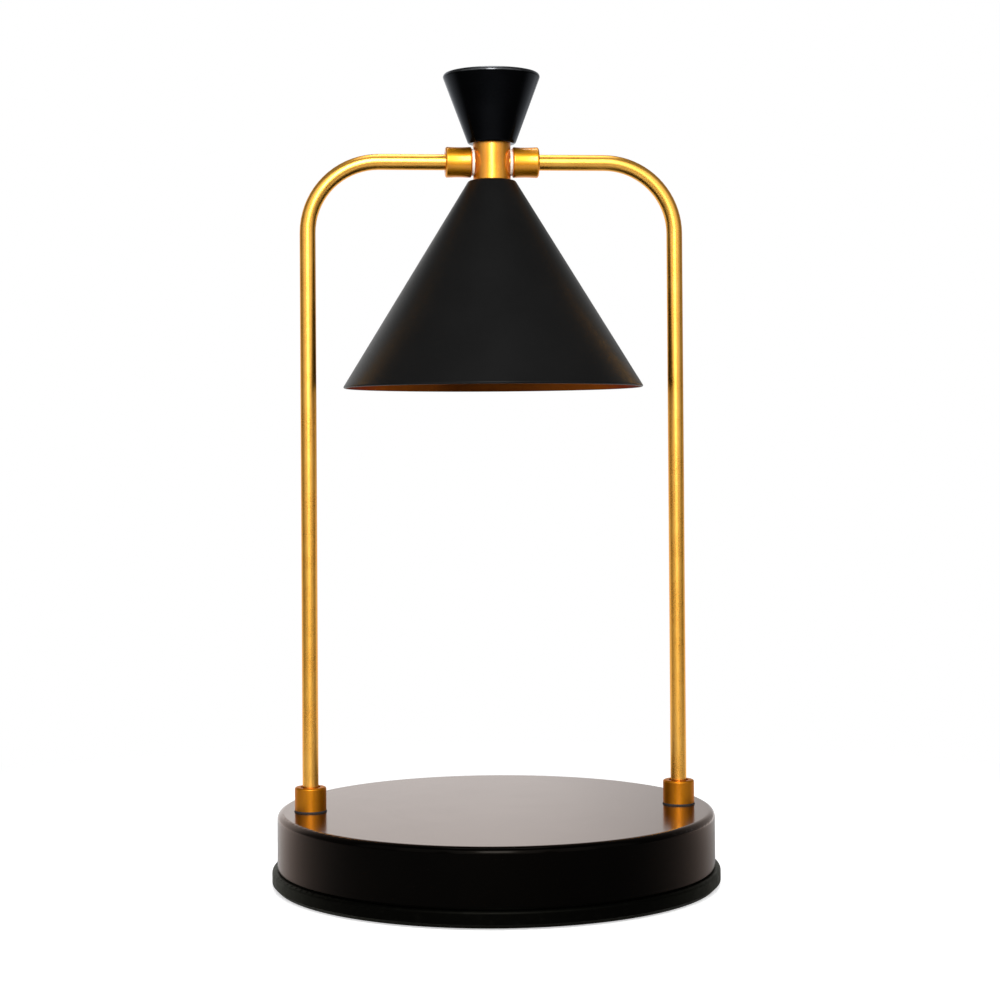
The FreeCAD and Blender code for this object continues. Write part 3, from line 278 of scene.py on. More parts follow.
def make_gold(name, tones, rough, centre=None, axis="Z", coat=0.6):
    """Satin gold plating: a fine grain, and turning marks about the centre where one is given."""
    f = Finish(name, Metallic=1.0, Specular_Tint=(1.0, 0.60, 0.24, 1),
               Coat_Weight=coat, Coat_IOR=1.5, Coat_Roughness=0.17)
    cloud = f.noise(9 * MM, 3.0)
    grain = f.noise(0.32 * MM, 2.0, roughness=0.6)
    speck = f.span(f.cells(0.55 * MM), 1, 0, 0.05, 0.3)
    share = f.math("ADD", f.span(cloud, 0.15, 0.6), f.span(grain, -0.2, 0.3))
    colour = f.blend(f.math("SUBTRACT", share, f.math("MULTIPLY", speck, 0.12)), *tones)
    normal = f.relief(grain, 0.010 * MM, 0.4)
    level = f.uneven(grain, *rough, cloud, 0.03)
    if centre is not None:
        marks = f.lathe_marks(0.22 * MM, centre, axis)
        normal = f.relief(marks, 0.005 * MM, 0.4, normal)
        level = f.math("ADD", level, f.span(marks, -0.02, 0.03))
    return f.set(Base_Color=colour, Roughness=level, Normal=normal)


def make_shade_black():
    """Matt black powder coat with a tight orange-peel."""
    f = Finish("shade_black", Specular_IOR_Level=0.09)
    peel = f.noise(0.6 * MM, 2.0)
    fine = f.noise(0.16 * MM, 1.0)
    cloud = f.noise(30 * MM, 2.0)
    colour = f.shades(cloud, grey(0.0042), grey(0.0054))
    rough = f.uneven(peel, 0.31, 0.38, cloud, 0.02)
    normal = f.relief(peel, 0.010 * MM, 0.45)
    return f.set(Base_Color=colour, Roughness=rough,
                 Normal=f.relief(fine, 0.004 * MM, 0.4, normal))


def make_shade_brown_glow():
    """Dark copper-brown lacquer inside the shade over the marks of metal spinning. Its copper tint
    also paints in the warm glow that the inside reflects from a lit candle below, a painted
    reflection.
    """
    f = Finish("shade_brown_glow", Metallic=0.9, Specular_IOR_Level=0.2,
               Specular_Tint=(0.22, 0.13, 0.08, 1))
    marks = f.lathe_marks(0.8 * MM)
    cloud = f.noise(14 * MM, 3.0)
    # Painted reflection: the copper tones stand in partly for warm glow reflected inside the shade
    colour = f.shades(cloud, (0.16, 0.042, 0.005, 1), (0.23, 0.062, 0.008, 1))
    rough = f.uneven(marks, 0.34, 0.44, cloud, 0.03)
    return f.set(Base_Color=colour, Roughness=rough, Normal=f.relief(marks, 0.012 * MM, 0.45))


# The finial's lighter polished band is a painted highlight along its top edge; it fades in between
# two depths below its top and two distances from its axis
POLISHED_HIGHLIGHT = (0.085, 0.088, 0.092, 1)
HIGHLIGHT_DEPTH = (1.5 * MM, 1.0 * MM)
HIGHLIGHT_REACH = (17.0 * MM, 17.8 * MM)


def make_finial_black():
    """Blue-black lacquer on turned metal, with a lighter polished band along the upper edge that
    paints in the edge's highlight.
    """
    f = dark_metal("finial_black", Specular_Tint=(0.80, 0.82, 0.85, 1))
    marks = f.lathe_marks(0.3 * MM)
    cloud = f.noise(12 * MM, 3.0)
    lacquer = f.shades(cloud, (0.0046, 0.0050, 0.0058, 1), (0.0062, 0.0067, 0.0078, 1))
    x, y, z = f.split(f.place)
    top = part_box("finial")[1].z
    high = f.ease(z, *(top - depth for depth in HIGHLIGHT_DEPTH))
    wide = f.ease(f.hypot(x, y), *HIGHLIGHT_REACH)
    # Painted highlight: the lacquer turns to the lighter polished colour along the top edge
    colour = f.blend(f.math("MULTIPLY", high, wide), lacquer, POLISHED_HIGHLIGHT)
    rough = f.uneven(marks, 0.16, 0.20, cloud, 0.01)
    return f.set(Base_Color=colour, Roughness=rough, Normal=f.relief(marks, 0.003 * MM, 0.35))


def make_zinc():
    """Zinc-plated steel: bluish, slightly blotchy, with fine scratches."""
    f = Finish("zinc_plate", Metallic=1.0)
    blotch = f.noise(1.6 * MM, 4.0)
    scratch = f.noise(0.2 * MM, 2.0)
    colour = f.shades(blotch, (0.50, 0.51, 0.52, 1), (0.68, 0.68, 0.66, 1))
    return f.set(Base_Color=colour, Roughness=f.span(blotch, 0.24, 0.40),
                 Normal=f.relief(scratch, 0.006 * MM, 0.4))


def make_iron():
    """Cast iron with a sand-cast skin."""
    f = Finish("cast_iron", Metallic=0.6)
    pits = f.noise(1.1 * MM, 6.0, roughness=0.65)
    stain = f.noise(11 * MM, 4.0)
    colour = f.shades(stain, (0.045, 0.044, 0.043, 1), (0.09, 0.078, 0.068, 1))
    return f.set(Base_Color=colour, Roughness=f.span(pits, 0.5, 0.75),
                 Normal=f.relief(pits, 0.12 * MM, 0.7))


def make_mirror():
    """Vacuum-metallised glass of the reflector."""
    f = Finish("reflector_mirror", Metallic=1.0)
    haze = f.noise(3 * MM, 4.0)
    colour = f.shades(haze, (0.74, 0.75, 0.77, 1), (0.86, 0.86, 0.85, 1))
    return f.set(Base_Color=colour, Roughness=f.span(haze, 0.08, 0.16),
                 Normal=f.relief(f.noise(0.8 * MM, 2.0), 0.006 * MM, 0.3))


def make_glass(name, tint, rough, size):
    """Clear glass with a faint waviness from pressing."""
    f = Finish(name, Transmission_Weight=1.0, IOR=1.47)
    wave = f.noise(size, 2.0)
    return f.set(Base_Color=f.shades(wave, tint, grey(1.0)),
                 Roughness=f.span(wave, rough, rough * 1.6),
                 Normal=f.relief(wave, 0.02 * MM, 0.3))


def make_simple(name, dark, light, size, rough, depth, **constants):
    """A finish with one cloud of colour and roughness and a grain six times finer."""
    f = Finish(name, **constants)
    cloud = f.noise(size, 4.0)
    grain = f.noise(size / 6, 2.0)
    return f.set(Base_Color=f.shades(cloud, dark, light), Roughness=f.span(cloud, *rough),
                 Normal=f.relief(grain, depth, 0.5))


SHELL_PAINT = make_shell_paint()
TRAY_PLASTIC = make_tray_plastic()
SHADE_BLACK = make_shade_black()
SHADE_BROWN_GLOW = make_shade_brown_glow()
FINIAL_BLACK = make_finial_black()
ZINC = make_zinc()
IRON = make_iron()
MIRROR = make_mirror()
REFLECTOR_BACK = make_simple("reflector_back", (0.42, 0.43, 0.45, 1), (0.56, 0.56, 0.57, 1),
                             3 * MM, (0.18, 0.28), 0.01 * MM, Metallic=0.85)
RUBBER = make_simple("foot_rubber", grey(0.012), grey(0.022), 2 * MM, (0.62, 0.8), 0.02 * MM)
WASHER_NYLON = make_simple("washer_nylon", (0.80, 0.77, 0.70, 1), (0.88, 0.86, 0.80, 1),
                           1.2 * MM, (0.32, 0.42), 0.006 * MM)
NYLON = make_simple("gland_nylon", grey(0.005), grey(0.009), 3 * MM, (0.38, 0.5), 0.01 * MM,
                    Specular_IOR_Level=0.2)
CREAM = make_simple("block_cream", (0.62, 0.56, 0.44, 1), (0.72, 0.67, 0.55, 1),
                    3 * MM, (0.4, 0.52), 0.01 * MM)
SHEATH = make_simple("lead_sheath", grey(0.018), grey(0.028), 4 * MM, (0.45, 0.6), 0.01 * MM)
CORE = make_simple("core_white", (0.60, 0.59, 0.56, 1), (0.72, 0.71, 0.68, 1),
                   2 * MM, (0.4, 0.55), 0.01 * MM)
MICA = make_simple("mica", (0.30, 0.25, 0.16, 1), (0.48, 0.42, 0.30, 1),
                   2.5 * MM, (0.25, 0.45), 0.02 * MM)
CERAMIC = make_simple("holder_ceramic", (0.60, 0.57, 0.50, 1), (0.74, 0.71, 0.65, 1),
                      4 * MM, (0.38, 0.55), 0.03 * MM)
BULB_CERAMIC = make_simple("bulb_ceramic", (0.70, 0.69, 0.66, 1), (0.80, 0.79, 0.76, 1),
                           3 * MM, (0.35, 0.5), 0.02 * MM)
CONTACT = make_simple("contact_brass", (0.55, 0.40, 0.14, 1), (0.70, 0.53, 0.22, 1),
                      1.5 * MM, (0.3, 0.45), 0.01 * MM, Metallic=1.0)
NICKEL = make_simple("pin_nickel", (0.52, 0.49, 0.44, 1), (0.66, 0.62, 0.56, 1),
                     1.2 * MM, (0.14, 0.26), 0.005 * MM, Metallic=1.0)
TUNGSTEN = make_simple("tungsten", grey(0.20), grey(0.32), 0.5 * MM, (0.3, 0.5), 0.004 * MM,
                       Metallic=1.0)
LENS_GLASS = make_glass("lens_glass", (0.93, 0.96, 0.97, 1), 0.03, 4 * MM)
QUARTZ = make_glass("quartz", (0.97, 0.98, 1.0, 1), 0.02, 2 * MM)


# Finishes of the CAD nodes

def centre_of(node):
    """Middle of a CAD node's box."""
    low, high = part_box(node)
    return (low + high) / 2


def dress(material, *names):
    """Give CAD nodes this material alone."""
    for name in names:
        thing = NODES[name]
        thing.data.materials.clear()
        thing.data.materials.append(material)


bar_axis = (0, 0, centre_of("hub").z)

dress(SHELL_PAINT, "base_shell")
dress(TRAY_PLASTIC, "bottom_tray")
# The posts get the lighter tones of the plating, painted light
dress(make_gold("gold_drawn", GOLD_DRAWN_LIT, (0.26, 0.34)), "post_left", "post_right")
dress(make_gold("gold_hub", GOLD_TURNED, (0.34, 0.42), (0, 0, 0), "Z", 1.0), "hub")
dress(make_gold("gold_sleeve", GOLD_TURNED, (0.38, 0.46), bar_axis, "X", 0.8),
      "sleeve_left", "sleeve_right")
# The collars get the darker tones, partly painted shade
for collar in ("collar_left", "collar_right"):
    foot_axis = (centre_of(collar).x, 0, 0)
    dress(make_gold(f"gold_{collar}", GOLD_CAST_SHADED, (0.38, 0.48), foot_axis, "Z", 0.25), collar)
dress(WASHER_NYLON, "friction_washers")
dress(FINIAL_BLACK, "finial")
dress(ZINC, "tray_screws", "standoffs", "terminal_screws", "block_screw", "collar_washers",
      "collar_nuts", "collar_set_screws", "sleeve_set_screws", "finial_stud", "shade_nipple",
      "shade_washer", "shade_nut", "plate_nut", "holder_plate", "holder_screws")
dress(IRON, "ballast_disc")
dress(RUBBER, "rubber_feet")
dress(NYLON, "cord_gland")
dress(CREAM, "terminal_block")
dress(SHEATH, "stand_lead")
dress(CORE, "head_leads")
dress(MICA, "holder_insulator")
dress(CERAMIC, "lamp_holder")
dress(CONTACT, "holder_contacts")
dress(BULB_CERAMIC, "bulb_base")
dress(NICKEL, "bulb_pins")
dress(SHADE_BLACK, "shade")
dress(MIRROR, "bulb_reflector")
dress(LENS_GLASS, "bulb_lens")
dress(QUARTZ, "bulb_capsule")
dress(TUNGSTEN, "bulb_filament")


# Turned meshes: outlines of (radius, height) that are turned about the lamp's axis

# A round's shading is held off a run at this distance, if the run is so many times as long
HOLD = 0.15
LONG_RUN = 4


def swept(middle, start, end, steps):
    """Points on an arc about middle, between two offsets from it."""
    sweep = -start.angle_signed(end)
    angles = [sweep * k / steps for k in range(steps + 1)]
    return [middle + Vector((start.x * math.cos(a) - start.y * math.sin(a),
                             start.x * math.sin(a) + start.y * math.cos(a))) for a in angles]


def arc(start, end, radius, steps):
    """Points on an arc that bulges away from the axis, or towards it if the radius is negative."""
    start, end = Vector(start), Vector(end)
    chord = end - start
    side = Vector((-chord.y, chord.x)).normalized()
    drop = math.sqrt(radius * radius - chord.length_squared / 4)
    middle = (start + end) / 2 + side * math.copysign(drop, radius)
    return swept(middle, start - middle, end - middle, steps)


def rounded(corners, steps=6, hold=0.0):
    """A closed outline whose corners (r, z, size) are rounded to that size.

    With hold, a point stands that far from each end of a round on the long runs, so that the
    smooth shading of the round doesn't spread over the run.
    """
    points = []
    for i, (r, z, size) in enumerate(corners):
        here = Vector((r, z))
        if size == 0:
            points.append(here)
            continue
        runs = [Vector(corners[j % len(corners)][:2]) - here for j in (i - 1, i + 1)]
        back, ahead = (run.normalized() for run in runs)
        half = back.angle(ahead) / 2
        tangent = size / math.tan(half)
        middle = here + (back + ahead).normalized() * (size / math.sin(half))
        held = [0 < hold < (run.length - tangent - size) / LONG_RUN for run in runs]
        if held[0]:
            points.append(here + back * (tangent + hold))
        points += swept(middle, here + back * tangent - middle,
                        here + ahead * tangent - middle, steps)
        if held[1]:
            points.append(here + ahead * (tangent + hold))
    return points


def add_object(name, data):
    thing = bpy.data.objects.new(name, data)
    bpy.context.scene.collection.objects.link(thing)
    return thing


def turn(name, points, count, materials, pick=None, sharp=35.0, flat=None, offset=None):
    """Turn a closed outline about the axis in count steps.

    For each strip of the outline, pick gives its material's number and flat says if it has
    facets. For each point, offset shifts its ring round by a share of a step. Where flat isn't
    given, edges of more than sharp degrees are crisp.
    """
    bm = bmesh.new()
    rings = []
    for i, (r, z) in enumerate(points):
        if r < AXIS_RADIUS:
            rings.append([bm.verts.new((0, 0, z * MM))])
            continue
        shift = offset(i) if offset else 0.0
        angles = [2 * math.pi * (k + shift) / count for k in range(count)]
        rings.append([bm.verts.new((r * MM * math.cos(a), r * MM * math.sin(a), z * MM))
                      for a in angles])
    for i, ring in enumerate(rings):
        other = rings[(i + 1) % len(rings)]
        if len(ring) == 1 and len(other) == 1:
            continue
        for k in range(count):
            nxt = (k + 1) % count
            if len(ring) == 1:
                corners = (ring[0], other[nxt], other[k])
            elif len(other) == 1:
                corners = (ring[k], ring[nxt], other[0])
            else:
                corners = (ring[k], ring[nxt], other[nxt], other[k])
            face = bm.faces.new(corners)
            face.material_index = pick(i) if pick else 0
            face.smooth = not (flat and flat(i))
    bmesh.ops.recalc_face_normals(bm, faces=bm.faces)
    mesh = bpy.data.meshes.new(name)
    bm.to_mesh(mesh)
    bm.free()
    if flat is None:
        mesh.set_sharp_from_angle(angle=math.radians(sharp))
    for material in materials:
        mesh.materials.append(material)
    return add_object(name, mesh)


def settle(piece, body, slot, *nodes):
    """Let a piece ride on a body in place of CAD nodes."""
    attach(piece, body)
    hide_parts(*nodes)


# Shade: its rim is rounded to a share of the wall, and the black ends that many strips inside
# the rim's lowest point

SHADE_HOLE = 4.2
SHADE_NECK = 8.9
SHADE_WALL = 1.0
SHADE_SHOULDER = 1.3
SHADE_INNER_ROUND = 0.3
SHADE_RIM_SHARE = 0.49
SHADE_COUNT = 288
BLACK_PAST_LOWEST = 4


def make_shade():
    """Spun cone with a rounded rim, black outside and copper-brown inside, the inside's copper
    partly a painted reflection of warm glow.
    """
    low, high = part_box("shade")
    rim, foot, top = high.x / MM, low.z / MM, high.z / MM
    slope = (rim - SHADE_NECK) / (top - foot)
    across = SHADE_WALL * math.sqrt(1 + slope * slope)
    under = top - SHADE_WALL
    neck_inside = SHADE_NECK + slope * SHADE_WALL - across
    edge = SHADE_WALL * SHADE_RIM_SHARE
    outline = rounded([
        (SHADE_HOLE, under, 0),
        (SHADE_HOLE, top, 0),
        (SHADE_NECK, top, SHADE_SHOULDER),
        (rim, foot, edge),
        (rim - across, foot, edge),
        (neck_inside, under, SHADE_INNER_ROUND),
    ], hold=HOLD)
    lowest = min(range(len(outline)), key=lambda i: outline[i].y)
    last_black = lowest + BLACK_PAST_LOWEST
    shade = turn("shade_spun", outline, SHADE_COUNT, [SHADE_BLACK, SHADE_BROWN_GLOW],
                 pick=lambda i: 0 if 1 <= i < last_black else 1, sharp=50)
    settle(shade, "head", "shade_black", "shade")


# Finial

FINIAL_FOOT = 9.0
FINIAL_TOP = 19.0
FINIAL_BORE = 3.05
FINIAL_FOOT_ROUND = 1.0
FINIAL_TOP_ROUND = 1.3
FINIAL_HOLE_SPARE = 0.3
FINIAL_COUNT = 192


def make_finial():
    """Turned funnel with rounded edges and a blind hole for its stud."""
    low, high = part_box("finial")
    foot, top = low.z / MM, high.z / MM
    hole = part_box("finial_stud")[1].z / MM + FINIAL_HOLE_SPARE
    outline = rounded([
        (FINIAL_BORE, foot, 0),
        (FINIAL_FOOT, foot, FINIAL_FOOT_ROUND),
        (FINIAL_TOP, top, FINIAL_TOP_ROUND),
        (0, top, 0),
        (0, hole, 0),
        (FINIAL_BORE, hole, 0),
    ], steps=8, hold=HOLD)
    finial = turn("finial_turned", outline, FINIAL_COUNT, [FINIAL_BLACK], sharp=50)
    settle(finial, "head", "finial_black", "finial")


# Collar gaskets: black rings that are partly real rubber and partly painted shade, the dark shadow
# line at each collar's foot

SHADOW_GASKET_RADIUS = 6.05
SHADOW_GASKET_BORE = 5.8
SHADOW_GASKET_HEIGHT = 0.55
SHADOW_GASKET_ROUND = 0.15
SHADOW_GASKET_COUNT = 96


def make_shadow_gasket(side):
    """Black rubber ring on the shell round the foot of a collar, which also paints in the shadow
    line there.
    """
    top = SHELL_HEIGHT + SHADOW_GASKET_HEIGHT
    outline = rounded([
        (SHADOW_GASKET_BORE, SHELL_HEIGHT, 0),
        (SHADOW_GASKET_RADIUS, SHELL_HEIGHT, 0),
        (SHADOW_GASKET_RADIUS, top, SHADOW_GASKET_ROUND),
        (SHADOW_GASKET_BORE, top, 0),
    ])
    ring = turn(f"collar_shadow_gasket_{side}", outline, SHADOW_GASKET_COUNT, [RUBBER])
    middle = centre_of(f"collar_{side}")
    for vertex in ring.data.vertices:
        vertex.co.x += middle.x
    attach(ring, "stand")


# Reflector of the bulb

BULB_RADIUS = 25.0
BULB_NECK = 10.6
BULB_GLASS = 1.6
BULB_CURVE = 44.0
BULB_RIM = 3.6
RIM_CHAMFER = 0.4
RIM_INNER_WIDTH = 0.35
RIM_INNER_DEPTH = 0.25
BACK_STEPS = 12
FACET_COLUMNS = 40
FACET_ROWS = 10


def make_reflector():
    """Bowl of pressed glass, smooth outside, with rows of staggered mirror facets inside."""
    low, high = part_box("bulb_reflector")
    front, neck = low.z / MM, high.z / MM
    rim_top = front + BULB_RIM
    inner = BULB_RADIUS - BULB_GLASS
    edge = [Vector((inner, front + RIM_INNER_DEPTH)),
            Vector((inner + RIM_INNER_WIDTH, front)),
            Vector((BULB_RADIUS - RIM_CHAMFER, front)),
            Vector((BULB_RADIUS, front + RIM_CHAMFER))]
    outside = arc((BULB_RADIUS, rim_top), (BULB_NECK, neck), BULB_CURVE, BACK_STEPS)
    inside = arc((BULB_NECK - BULB_GLASS, neck), (inner, rim_top),
                 -(BULB_CURVE - BULB_GLASS), FACET_ROWS)
    outline = edge + outside + inside
    first, last = len(edge + outside), len(outline) - 1

    def faceted(i):
        return first <= i < last

    def stagger(i):
        return 0.5 * ((i - first) % 2) if faceted(i) else 0.0

    bowl = turn("reflector_faceted", outline, FACET_COLUMNS, [REFLECTOR_BACK, MIRROR],
                pick=lambda i: int(faceted(i)), flat=faceted, offset=stagger)
    settle(bowl, "bulb", "reflector_glass", "bulb_reflector")


# Lens of the bulb. Its bend is the angle in radians from the dome's middle to its edge.

LENS_BEND = 1.0
LENS_STEPS = 8
LENS_RISE = 0.35
LENS_CHAMFER = 0.25
LENS_BACK_CHAMFER = 0.3
LENS_MARGIN = 2.0
LENS_RINGS = 7
RING_STEPS = 6
RING_DEPTH = 0.22
RING_SINK = 0.05
LENS_COUNT = 96


def make_lens():
    """Pressed front glass: a low dome outside and shallow rings inside."""
    low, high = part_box("bulb_lens")
    front, back, edge = low.z / MM, high.z / MM, high.x / MM
    dome = []
    for i in range(LENS_STEPS):
        a = LENS_BEND * i / LENS_STEPS
        rise = LENS_RISE * (1 - math.cos(a)) / (1 - math.cos(LENS_BEND))
        dome.append(Vector((edge * math.sin(a) / math.sin(LENS_BEND), front + rise)))
    side = [Vector((edge - LENS_CHAMFER, front + LENS_RISE)),
            Vector((edge, front + LENS_RISE + LENS_CHAMFER)),
            Vector((edge, back - LENS_BACK_CHAMFER)),
            Vector((edge - LENS_BACK_CHAMFER, back))]
    rings = []
    for i in range(LENS_RINGS * RING_STEPS, -1, -1):
        r = (edge - LENS_MARGIN) * i / (LENS_RINGS * RING_STEPS)
        groove = RING_DEPTH * (0.5 - 0.5 * math.cos(2 * math.pi * i / RING_STEPS))
        rings.append(Vector((r, back - groove - RING_SINK)))
    lens = turn("lens_pressed", dome + side + rings, LENS_COUNT, [LENS_GLASS], sharp=60)
    settle(lens, "bulb", "lens_glass", "bulb_lens")


# Capsule of the bulb. The tip's profile is (radius, height), the ceiling's is (distance from the
# wall, depth). The domes' points are at angles in degrees, from the tip and from the side.

CAPSULE_RADIUS = 4.6
CAPSULE_WALL = 0.9
CAPSULE_STEM = 3.0
CAPSULE_STEM_LENGTH = 4.3
CAPSULE_SHOULDER = 1.0
TIP_HEIGHT = 0.7
TIP_PROFILE = ((0, 0), (0.45, 0.12), (0.7, 0.45), (0.95, 0.72))
CEILING_PROFILE = ((0.8, 0), (0.2, 0.3), (0, 0.9))
DOME_OUTSIDE = range(18, 91, 8)
DOME_INSIDE = range(0, 90, 9)
CAPSULE_COUNT = 64


def make_capsule():
    """Quartz capsule with a domed end, its sealed-off exhaust tip and a stem."""
    low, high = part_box("bulb_capsule")
    tip, top = low.z / MM, high.z / MM
    shoulder = top - CAPSULE_STEM_LENGTH
    dome = tip + TIP_HEIGHT
    middle = dome + CAPSULE_RADIUS
    outside = [Vector((r, tip + rise)) for r, rise in TIP_PROFILE]
    outside += [Vector((CAPSULE_RADIUS * math.sin(a), dome + CAPSULE_RADIUS * (1 - math.cos(a))))
                for a in map(math.radians, DOME_OUTSIDE)]
    outside += rounded([
        (CAPSULE_RADIUS, middle, 0),
        (CAPSULE_RADIUS, shoulder, CAPSULE_SHOULDER),
        (CAPSULE_STEM, shoulder, 0),
        (CAPSULE_STEM, top, 0),
        (0, top, 0),
    ])[1:]
    inner = CAPSULE_RADIUS - CAPSULE_WALL
    ceiling = shoulder - CAPSULE_WALL
    inside = [Vector((0, ceiling))]
    inside += [Vector((inner - inset, ceiling - depth)) for inset, depth in CEILING_PROFILE]
    inside += [Vector((inner * math.cos(a), middle - inner * math.sin(a)))
               for a in map(math.radians, DOME_INSIDE)]
    inside.append(Vector((0, dome + CAPSULE_WALL)))
    capsule = turn("capsule_quartz", outside + inside, CAPSULE_COUNT, [QUARTZ], sharp=45)
    settle(capsule, "bulb", "capsule_glass", "bulb_capsule")


# Filament of the bulb. The bends of its leads are (x, height above the coil's lower or upper end).

WIRE_RADIUS = 0.11
COIL_RADIUS = 0.86
COIL_TURNS = 15
COIL_STEPS = 16
COIL_RISE = 0.2
COIL_DROP = 0.9
LEAD_SIDE = 2.4
LOWER_BENDS = ((LEAD_SIDE, 0.7), (2.1, 0.25), (1.5, 0))
UPPER_BENDS = ((0.5, 0.3), (0, 0.6))


def make_filament():
    """Coiled tungsten wire on two lead-in wires."""
    low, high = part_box("bulb_filament")
    top = high.z / MM
    bottom, coil_top = low.z / MM + COIL_RISE, top - COIL_DROP
    path = [(LEAD_SIDE, 0, top)]
    path += [(x, 0, bottom + up) for x, up in LOWER_BENDS]
    for k in range(COIL_TURNS * COIL_STEPS + 1):
        a = 2 * math.pi * k / COIL_STEPS
        path.append((COIL_RADIUS * math.cos(a), COIL_RADIUS * math.sin(a),
                     bottom + (coil_top - bottom) * k / (COIL_TURNS * COIL_STEPS)))
    path += [(x, 0, coil_top + up) for x, up in UPPER_BENDS]
    path.append((0, 0, top))
    curve = bpy.data.curves.new("filament_coil", "CURVE")
    curve.dimensions = "3D"
    curve.bevel_depth = WIRE_RADIUS * MM
    curve.bevel_resolution = 3
    curve.use_fill_caps = True
    spline = curve.splines.new("POLY")
    spline.points.add(len(path) - 1)
    for point, (x, y, z) in zip(spline.points, path):
        point.co = (x * MM, y * MM, z * MM, 1)
    curve.materials.append(TUNGSTEN)
    settle(add_object("filament_coil", curve), "bulb", "tungsten", "bulb_filament")


make_shade()
make_finial()
make_shadow_gasket("left")
make_shadow_gasket("right")
make_reflector()
make_lens()
make_capsule()
make_filament()


# Camera: distances in metres, angles in radians, lens and sensor in millimetres, and the
# optical centre in pixels of the picture

YAW = 0.0880
CAMERA_DISTANCE = 0.8209
CAMERA_HEIGHT = 0.1648
PITCH = 0.0139
ROLL = -0.0066
FOCAL = 77.79
SENSOR = 36
FRAME_PIXELS = 1000
OPTICAL_CENTRE = (493.5, 416.8)

# Level directions away from the camera and to its right
AWAY = (math.sin(YAW), math.cos(YAW))
RIGHT = (math.cos(YAW), -math.sin(YAW))


def aim(thing, forward, roll=0.0):
    """Point a camera or a lamp forward, turned by roll about that direction."""
    thing.rotation_mode = "QUATERNION"
    thing.rotation_quaternion = forward.to_track_quat("-Z", "Y") @ Quaternion((0, 0, 1), roll)


def make_camera():
    """Long lens, nearly level, a little to the left of the lamp's front."""
    data = bpy.data.cameras.new("camera")
    data.sensor_width = SENSOR
    data.lens = FOCAL
    data.shift_x = (FRAME_PIXELS / 2 - OPTICAL_CENTRE[0]) / FRAME_PIXELS
    data.shift_y = (OPTICAL_CENTRE[1] - FRAME_PIXELS / 2) / FRAME_PIXELS
    camera = add_object("camera", data)
    x, y = AWAY
    camera.location = (-CAMERA_DISTANCE * x, -CAMERA_DISTANCE * y, CAMERA_HEIGHT)
    forward = Vector((x * math.cos(PITCH), y * math.cos(PITCH), math.sin(PITCH)))
    aim(camera, forward, ROLL)
    bpy.context.scene.camera = camera


# World. The backdrop reaches so many degrees to each side, and its heights are sines. Its dims
# each have a side, the sines at which they start and end, and a strength.

BACKDROP_HALF = 42.0
BACKDROP_FADE = 64.0
BACKDROP_LOW = 0.30
BACKDROP_HIGH = 0.64
BACKDROP_DIMS = ((1, 0.0, 0.12, 0.46), (1, 0.15, 0.45, 0.40), (-1, 0.15, 0.50, 0.18))
STUDIO_LEVEL = 0.2
FILL_LEVEL = 0.22
LEAST_REACH = 0.001


def cosine(degrees):
    return math.cos(math.radians(degrees))


def straight_rays(graph, rays):
    """1 for what the camera sees directly or through glass, else 0."""
    return graph.math("MAXIMUM", rays["Is Camera Ray"], rays["Is Transmission Ray"])


def make_world():
    """White for the camera, white behind the object for gloss, and an even pale fill."""
    world = bpy.data.worlds.new("studio")
    bpy.context.scene.world = world
    world.use_nodes = True
    g = Graph(world.node_tree)
    x, y, z = g.split(g.add("ShaderNodeTexCoord").outputs["Generated"])
    reach = g.math("MAXIMUM", g.hypot(x, y), LEAST_REACH)
    behind = g.math("DIVIDE", g.towards(x, y, AWAY), reach)
    right = g.math("DIVIDE", g.towards(x, y, RIGHT), reach)
    wall = g.ease(behind, cosine(BACKDROP_FADE), cosine(BACKDROP_HALF))
    low = g.complement(g.ease(z, BACKDROP_LOW, BACKDROP_HIGH))
    backdrop = g.math("MULTIPLY", wall, low)
    for side, start, end, share in BACKDROP_DIMS:
        dim = g.math("MULTIPLY", g.ease(g.math("MULTIPLY", right, side), start, end), share)
        backdrop = g.math("MULTIPLY", backdrop, g.complement(dim))
    rays = g.add("ShaderNodeLightPath").outputs
    gloss = g.mix(backdrop, STUDIO_LEVEL, 1.0)
    level = g.mix(rays["Is Glossy Ray"], FILL_LEVEL, gloss)
    background = g.tree.nodes["Background"]
    g.feed(background.inputs["Strength"], g.mix(straight_rays(g, rays), level, 1.0))
    g.feed(background.inputs["Color"], (1, 1, 1, 1))


# Floor: distances from the axis in metres, the rest are shares of white

FLOOR_RADIUS = 6.0
FLOOR_COUNT = 96
FLOOR_COLOUR = 0.9
FLOOR_DARK = 0.22
FLOOR_MOTTLE = 0.004
FLOOR_LIFT = 0.55
PAPER_RADIUS = 0.42
PAPER_FADE = 1.3
# Gloss sees the paper near the object dimmer, more so on the right
NEAR_START = 0.22
NEAR_END = 0.50
NEAR_TURN = 0.06
NEAR_DIM = 0.30
NEAR_DIM_RIGHT = 0.25
# Gloss sees the floor lifted and white in a sector behind the object, in degrees to each side
GLOSS_START = 0.12
GLOSS_FULL = 0.34
SECTOR_HALF = 60
SECTOR_FADE = 90
# The floor turns white over these distances
WHITE_START = 0.10
WHITE_FULL = 0.40


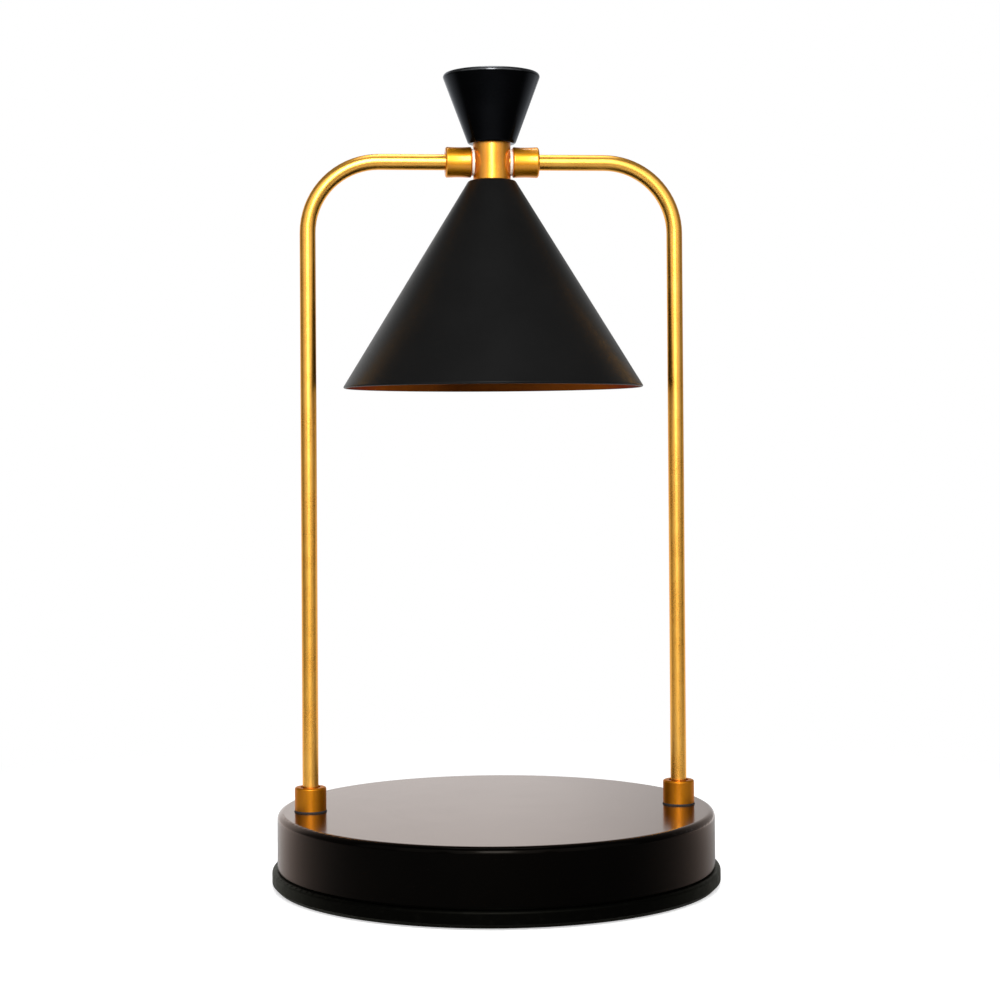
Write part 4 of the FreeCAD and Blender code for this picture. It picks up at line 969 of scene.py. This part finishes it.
def make_paper():
    """White paper that keeps the object's shadow and fades to white away from it."""
    f = Finish("paper")
    links = f.tree.links
    f.tree.nodes.remove(f.shader)
    x, y, _ = f.split(f.place)
    reach = f.hypot(x, y)
    rays = f.add("ShaderNodeLightPath").outputs

    mottled = f.math("SUBTRACT", FLOOR_COLOUR,
                     f.math("MULTIPLY", f.noise(2 * MM, 3.0), FLOOR_MOTTLE))
    darker = f.math("MULTIPLY", f.ease(reach, PAPER_RADIUS, PAPER_RADIUS * PAPER_FADE),
                    FLOOR_COLOUR - FLOOR_DARK)
    near = f.complement(f.ease(reach, NEAR_START, NEAR_END))
    right = f.math("MULTIPLY", f.ease(x, -NEAR_TURN, NEAR_TURN), NEAR_DIM_RIGHT)
    cut = f.math("MULTIPLY", near, f.math("ADD", NEAR_DIM, right))
    cut = f.math("MULTIPLY", cut, rays["Is Glossy Ray"])
    tone = f.math("MULTIPLY", f.math("SUBTRACT", mottled, darker), f.complement(cut))
    paper = f.add("ShaderNodeBsdfDiffuse")
    f.feed(paper.inputs["Color"], f.join(tone, tone, tone))

    behind = f.math("DIVIDE", f.towards(x, y, AWAY), reach)
    sector = f.ease(behind, cosine(SECTOR_FADE), cosine(SECTOR_HALF))
    far = f.ease(reach, GLOSS_START, GLOSS_FULL)
    gloss = f.math("MULTIPLY", rays["Is Glossy Ray"], f.math("MULTIPLY", sector, far))
    seen = f.math("MAXIMUM", straight_rays(f, rays), gloss)
    lift = f.add("ShaderNodeEmission")
    f.feed(lift.inputs["Strength"], f.math("MULTIPLY", seen, FLOOR_LIFT))
    lifted = f.add("ShaderNodeAddShader")
    links.new(paper.outputs[0], lifted.inputs[0])
    links.new(lift.outputs[0], lifted.inputs[1])

    white = f.add("ShaderNodeEmission")
    faded = f.add("ShaderNodeMixShader")
    f.feed(faded.inputs[0], f.math("MULTIPLY", seen, f.ease(reach, WHITE_START, WHITE_FULL)))
    links.new(lifted.outputs[0], faded.inputs[1])
    links.new(white.outputs[0], faded.inputs[2])
    links.new(faded.outputs[0], f.tree.nodes["Material Output"].inputs[0])
    return f.material


def make_floor():
    """Round sheet of paper under the whole studio."""
    turns = [2 * math.pi * i / FLOOR_COUNT for i in range(FLOOR_COUNT)]
    rim = [Vector((math.cos(a), math.sin(a), 0)) * FLOOR_RADIUS for a in turns]
    mesh = bpy.data.meshes.new("floor")
    mesh.from_pydata(rim, [], [list(range(FLOOR_COUNT))])
    mesh.materials.append(make_paper())
    add_object("floor", mesh)


# Lamps: name, azimuth from the camera's side, elevation, distance, width, height and radiance,
# in degrees and metres

LAMP_AIM = Vector((0, 0, 0.15))
LAMPS = (
    ("key", 0, 22, 1.5, 1.30, 1.45, 1.7),
    ("key_core", 0, 27, 1.45, 0.40, 0.80, 13.0),
    ("wing", -40, 22, 1.5, 0.60, 1.40, 1.0),
    ("edge", -64, 22, 1.5, 0.60, 1.30, 0.5),
    ("wing", 40, 22, 1.5, 0.60, 1.40, 1.0),
    ("edge", 64, 22, 1.5, 0.60, 1.30, 0.5),
    ("overhead", 0, 98, 1.2, 0.60, 0.80, 1.7),
    ("hair", 180, 68, 1.3, 0.25, 0.35, 6.0),
)


def make_lamp(name, azimuth, elevation, distance, width, height, radiance):
    """A soft box aimed at the object; radiance is that of its face."""
    data = bpy.data.lights.new(name, "AREA")
    data.shape = "RECTANGLE"
    data.size = width
    data.size_y = height
    data.energy = radiance * width * height * math.pi
    lamp = add_object(name, data)
    a, e = math.radians(azimuth - math.degrees(YAW)), math.radians(elevation)
    away = Vector((math.sin(a) * math.cos(e), -math.cos(a) * math.cos(e), math.sin(e)))
    lamp.location = LAMP_AIM + away * distance
    lamp.visible_camera = False
    aim(lamp, -away)


make_camera()
make_world()
make_floor()
for lamp in LAMPS:
    make_lamp(*lamp)

bpy.context.scene.view_settings.view_transform = "Standard"
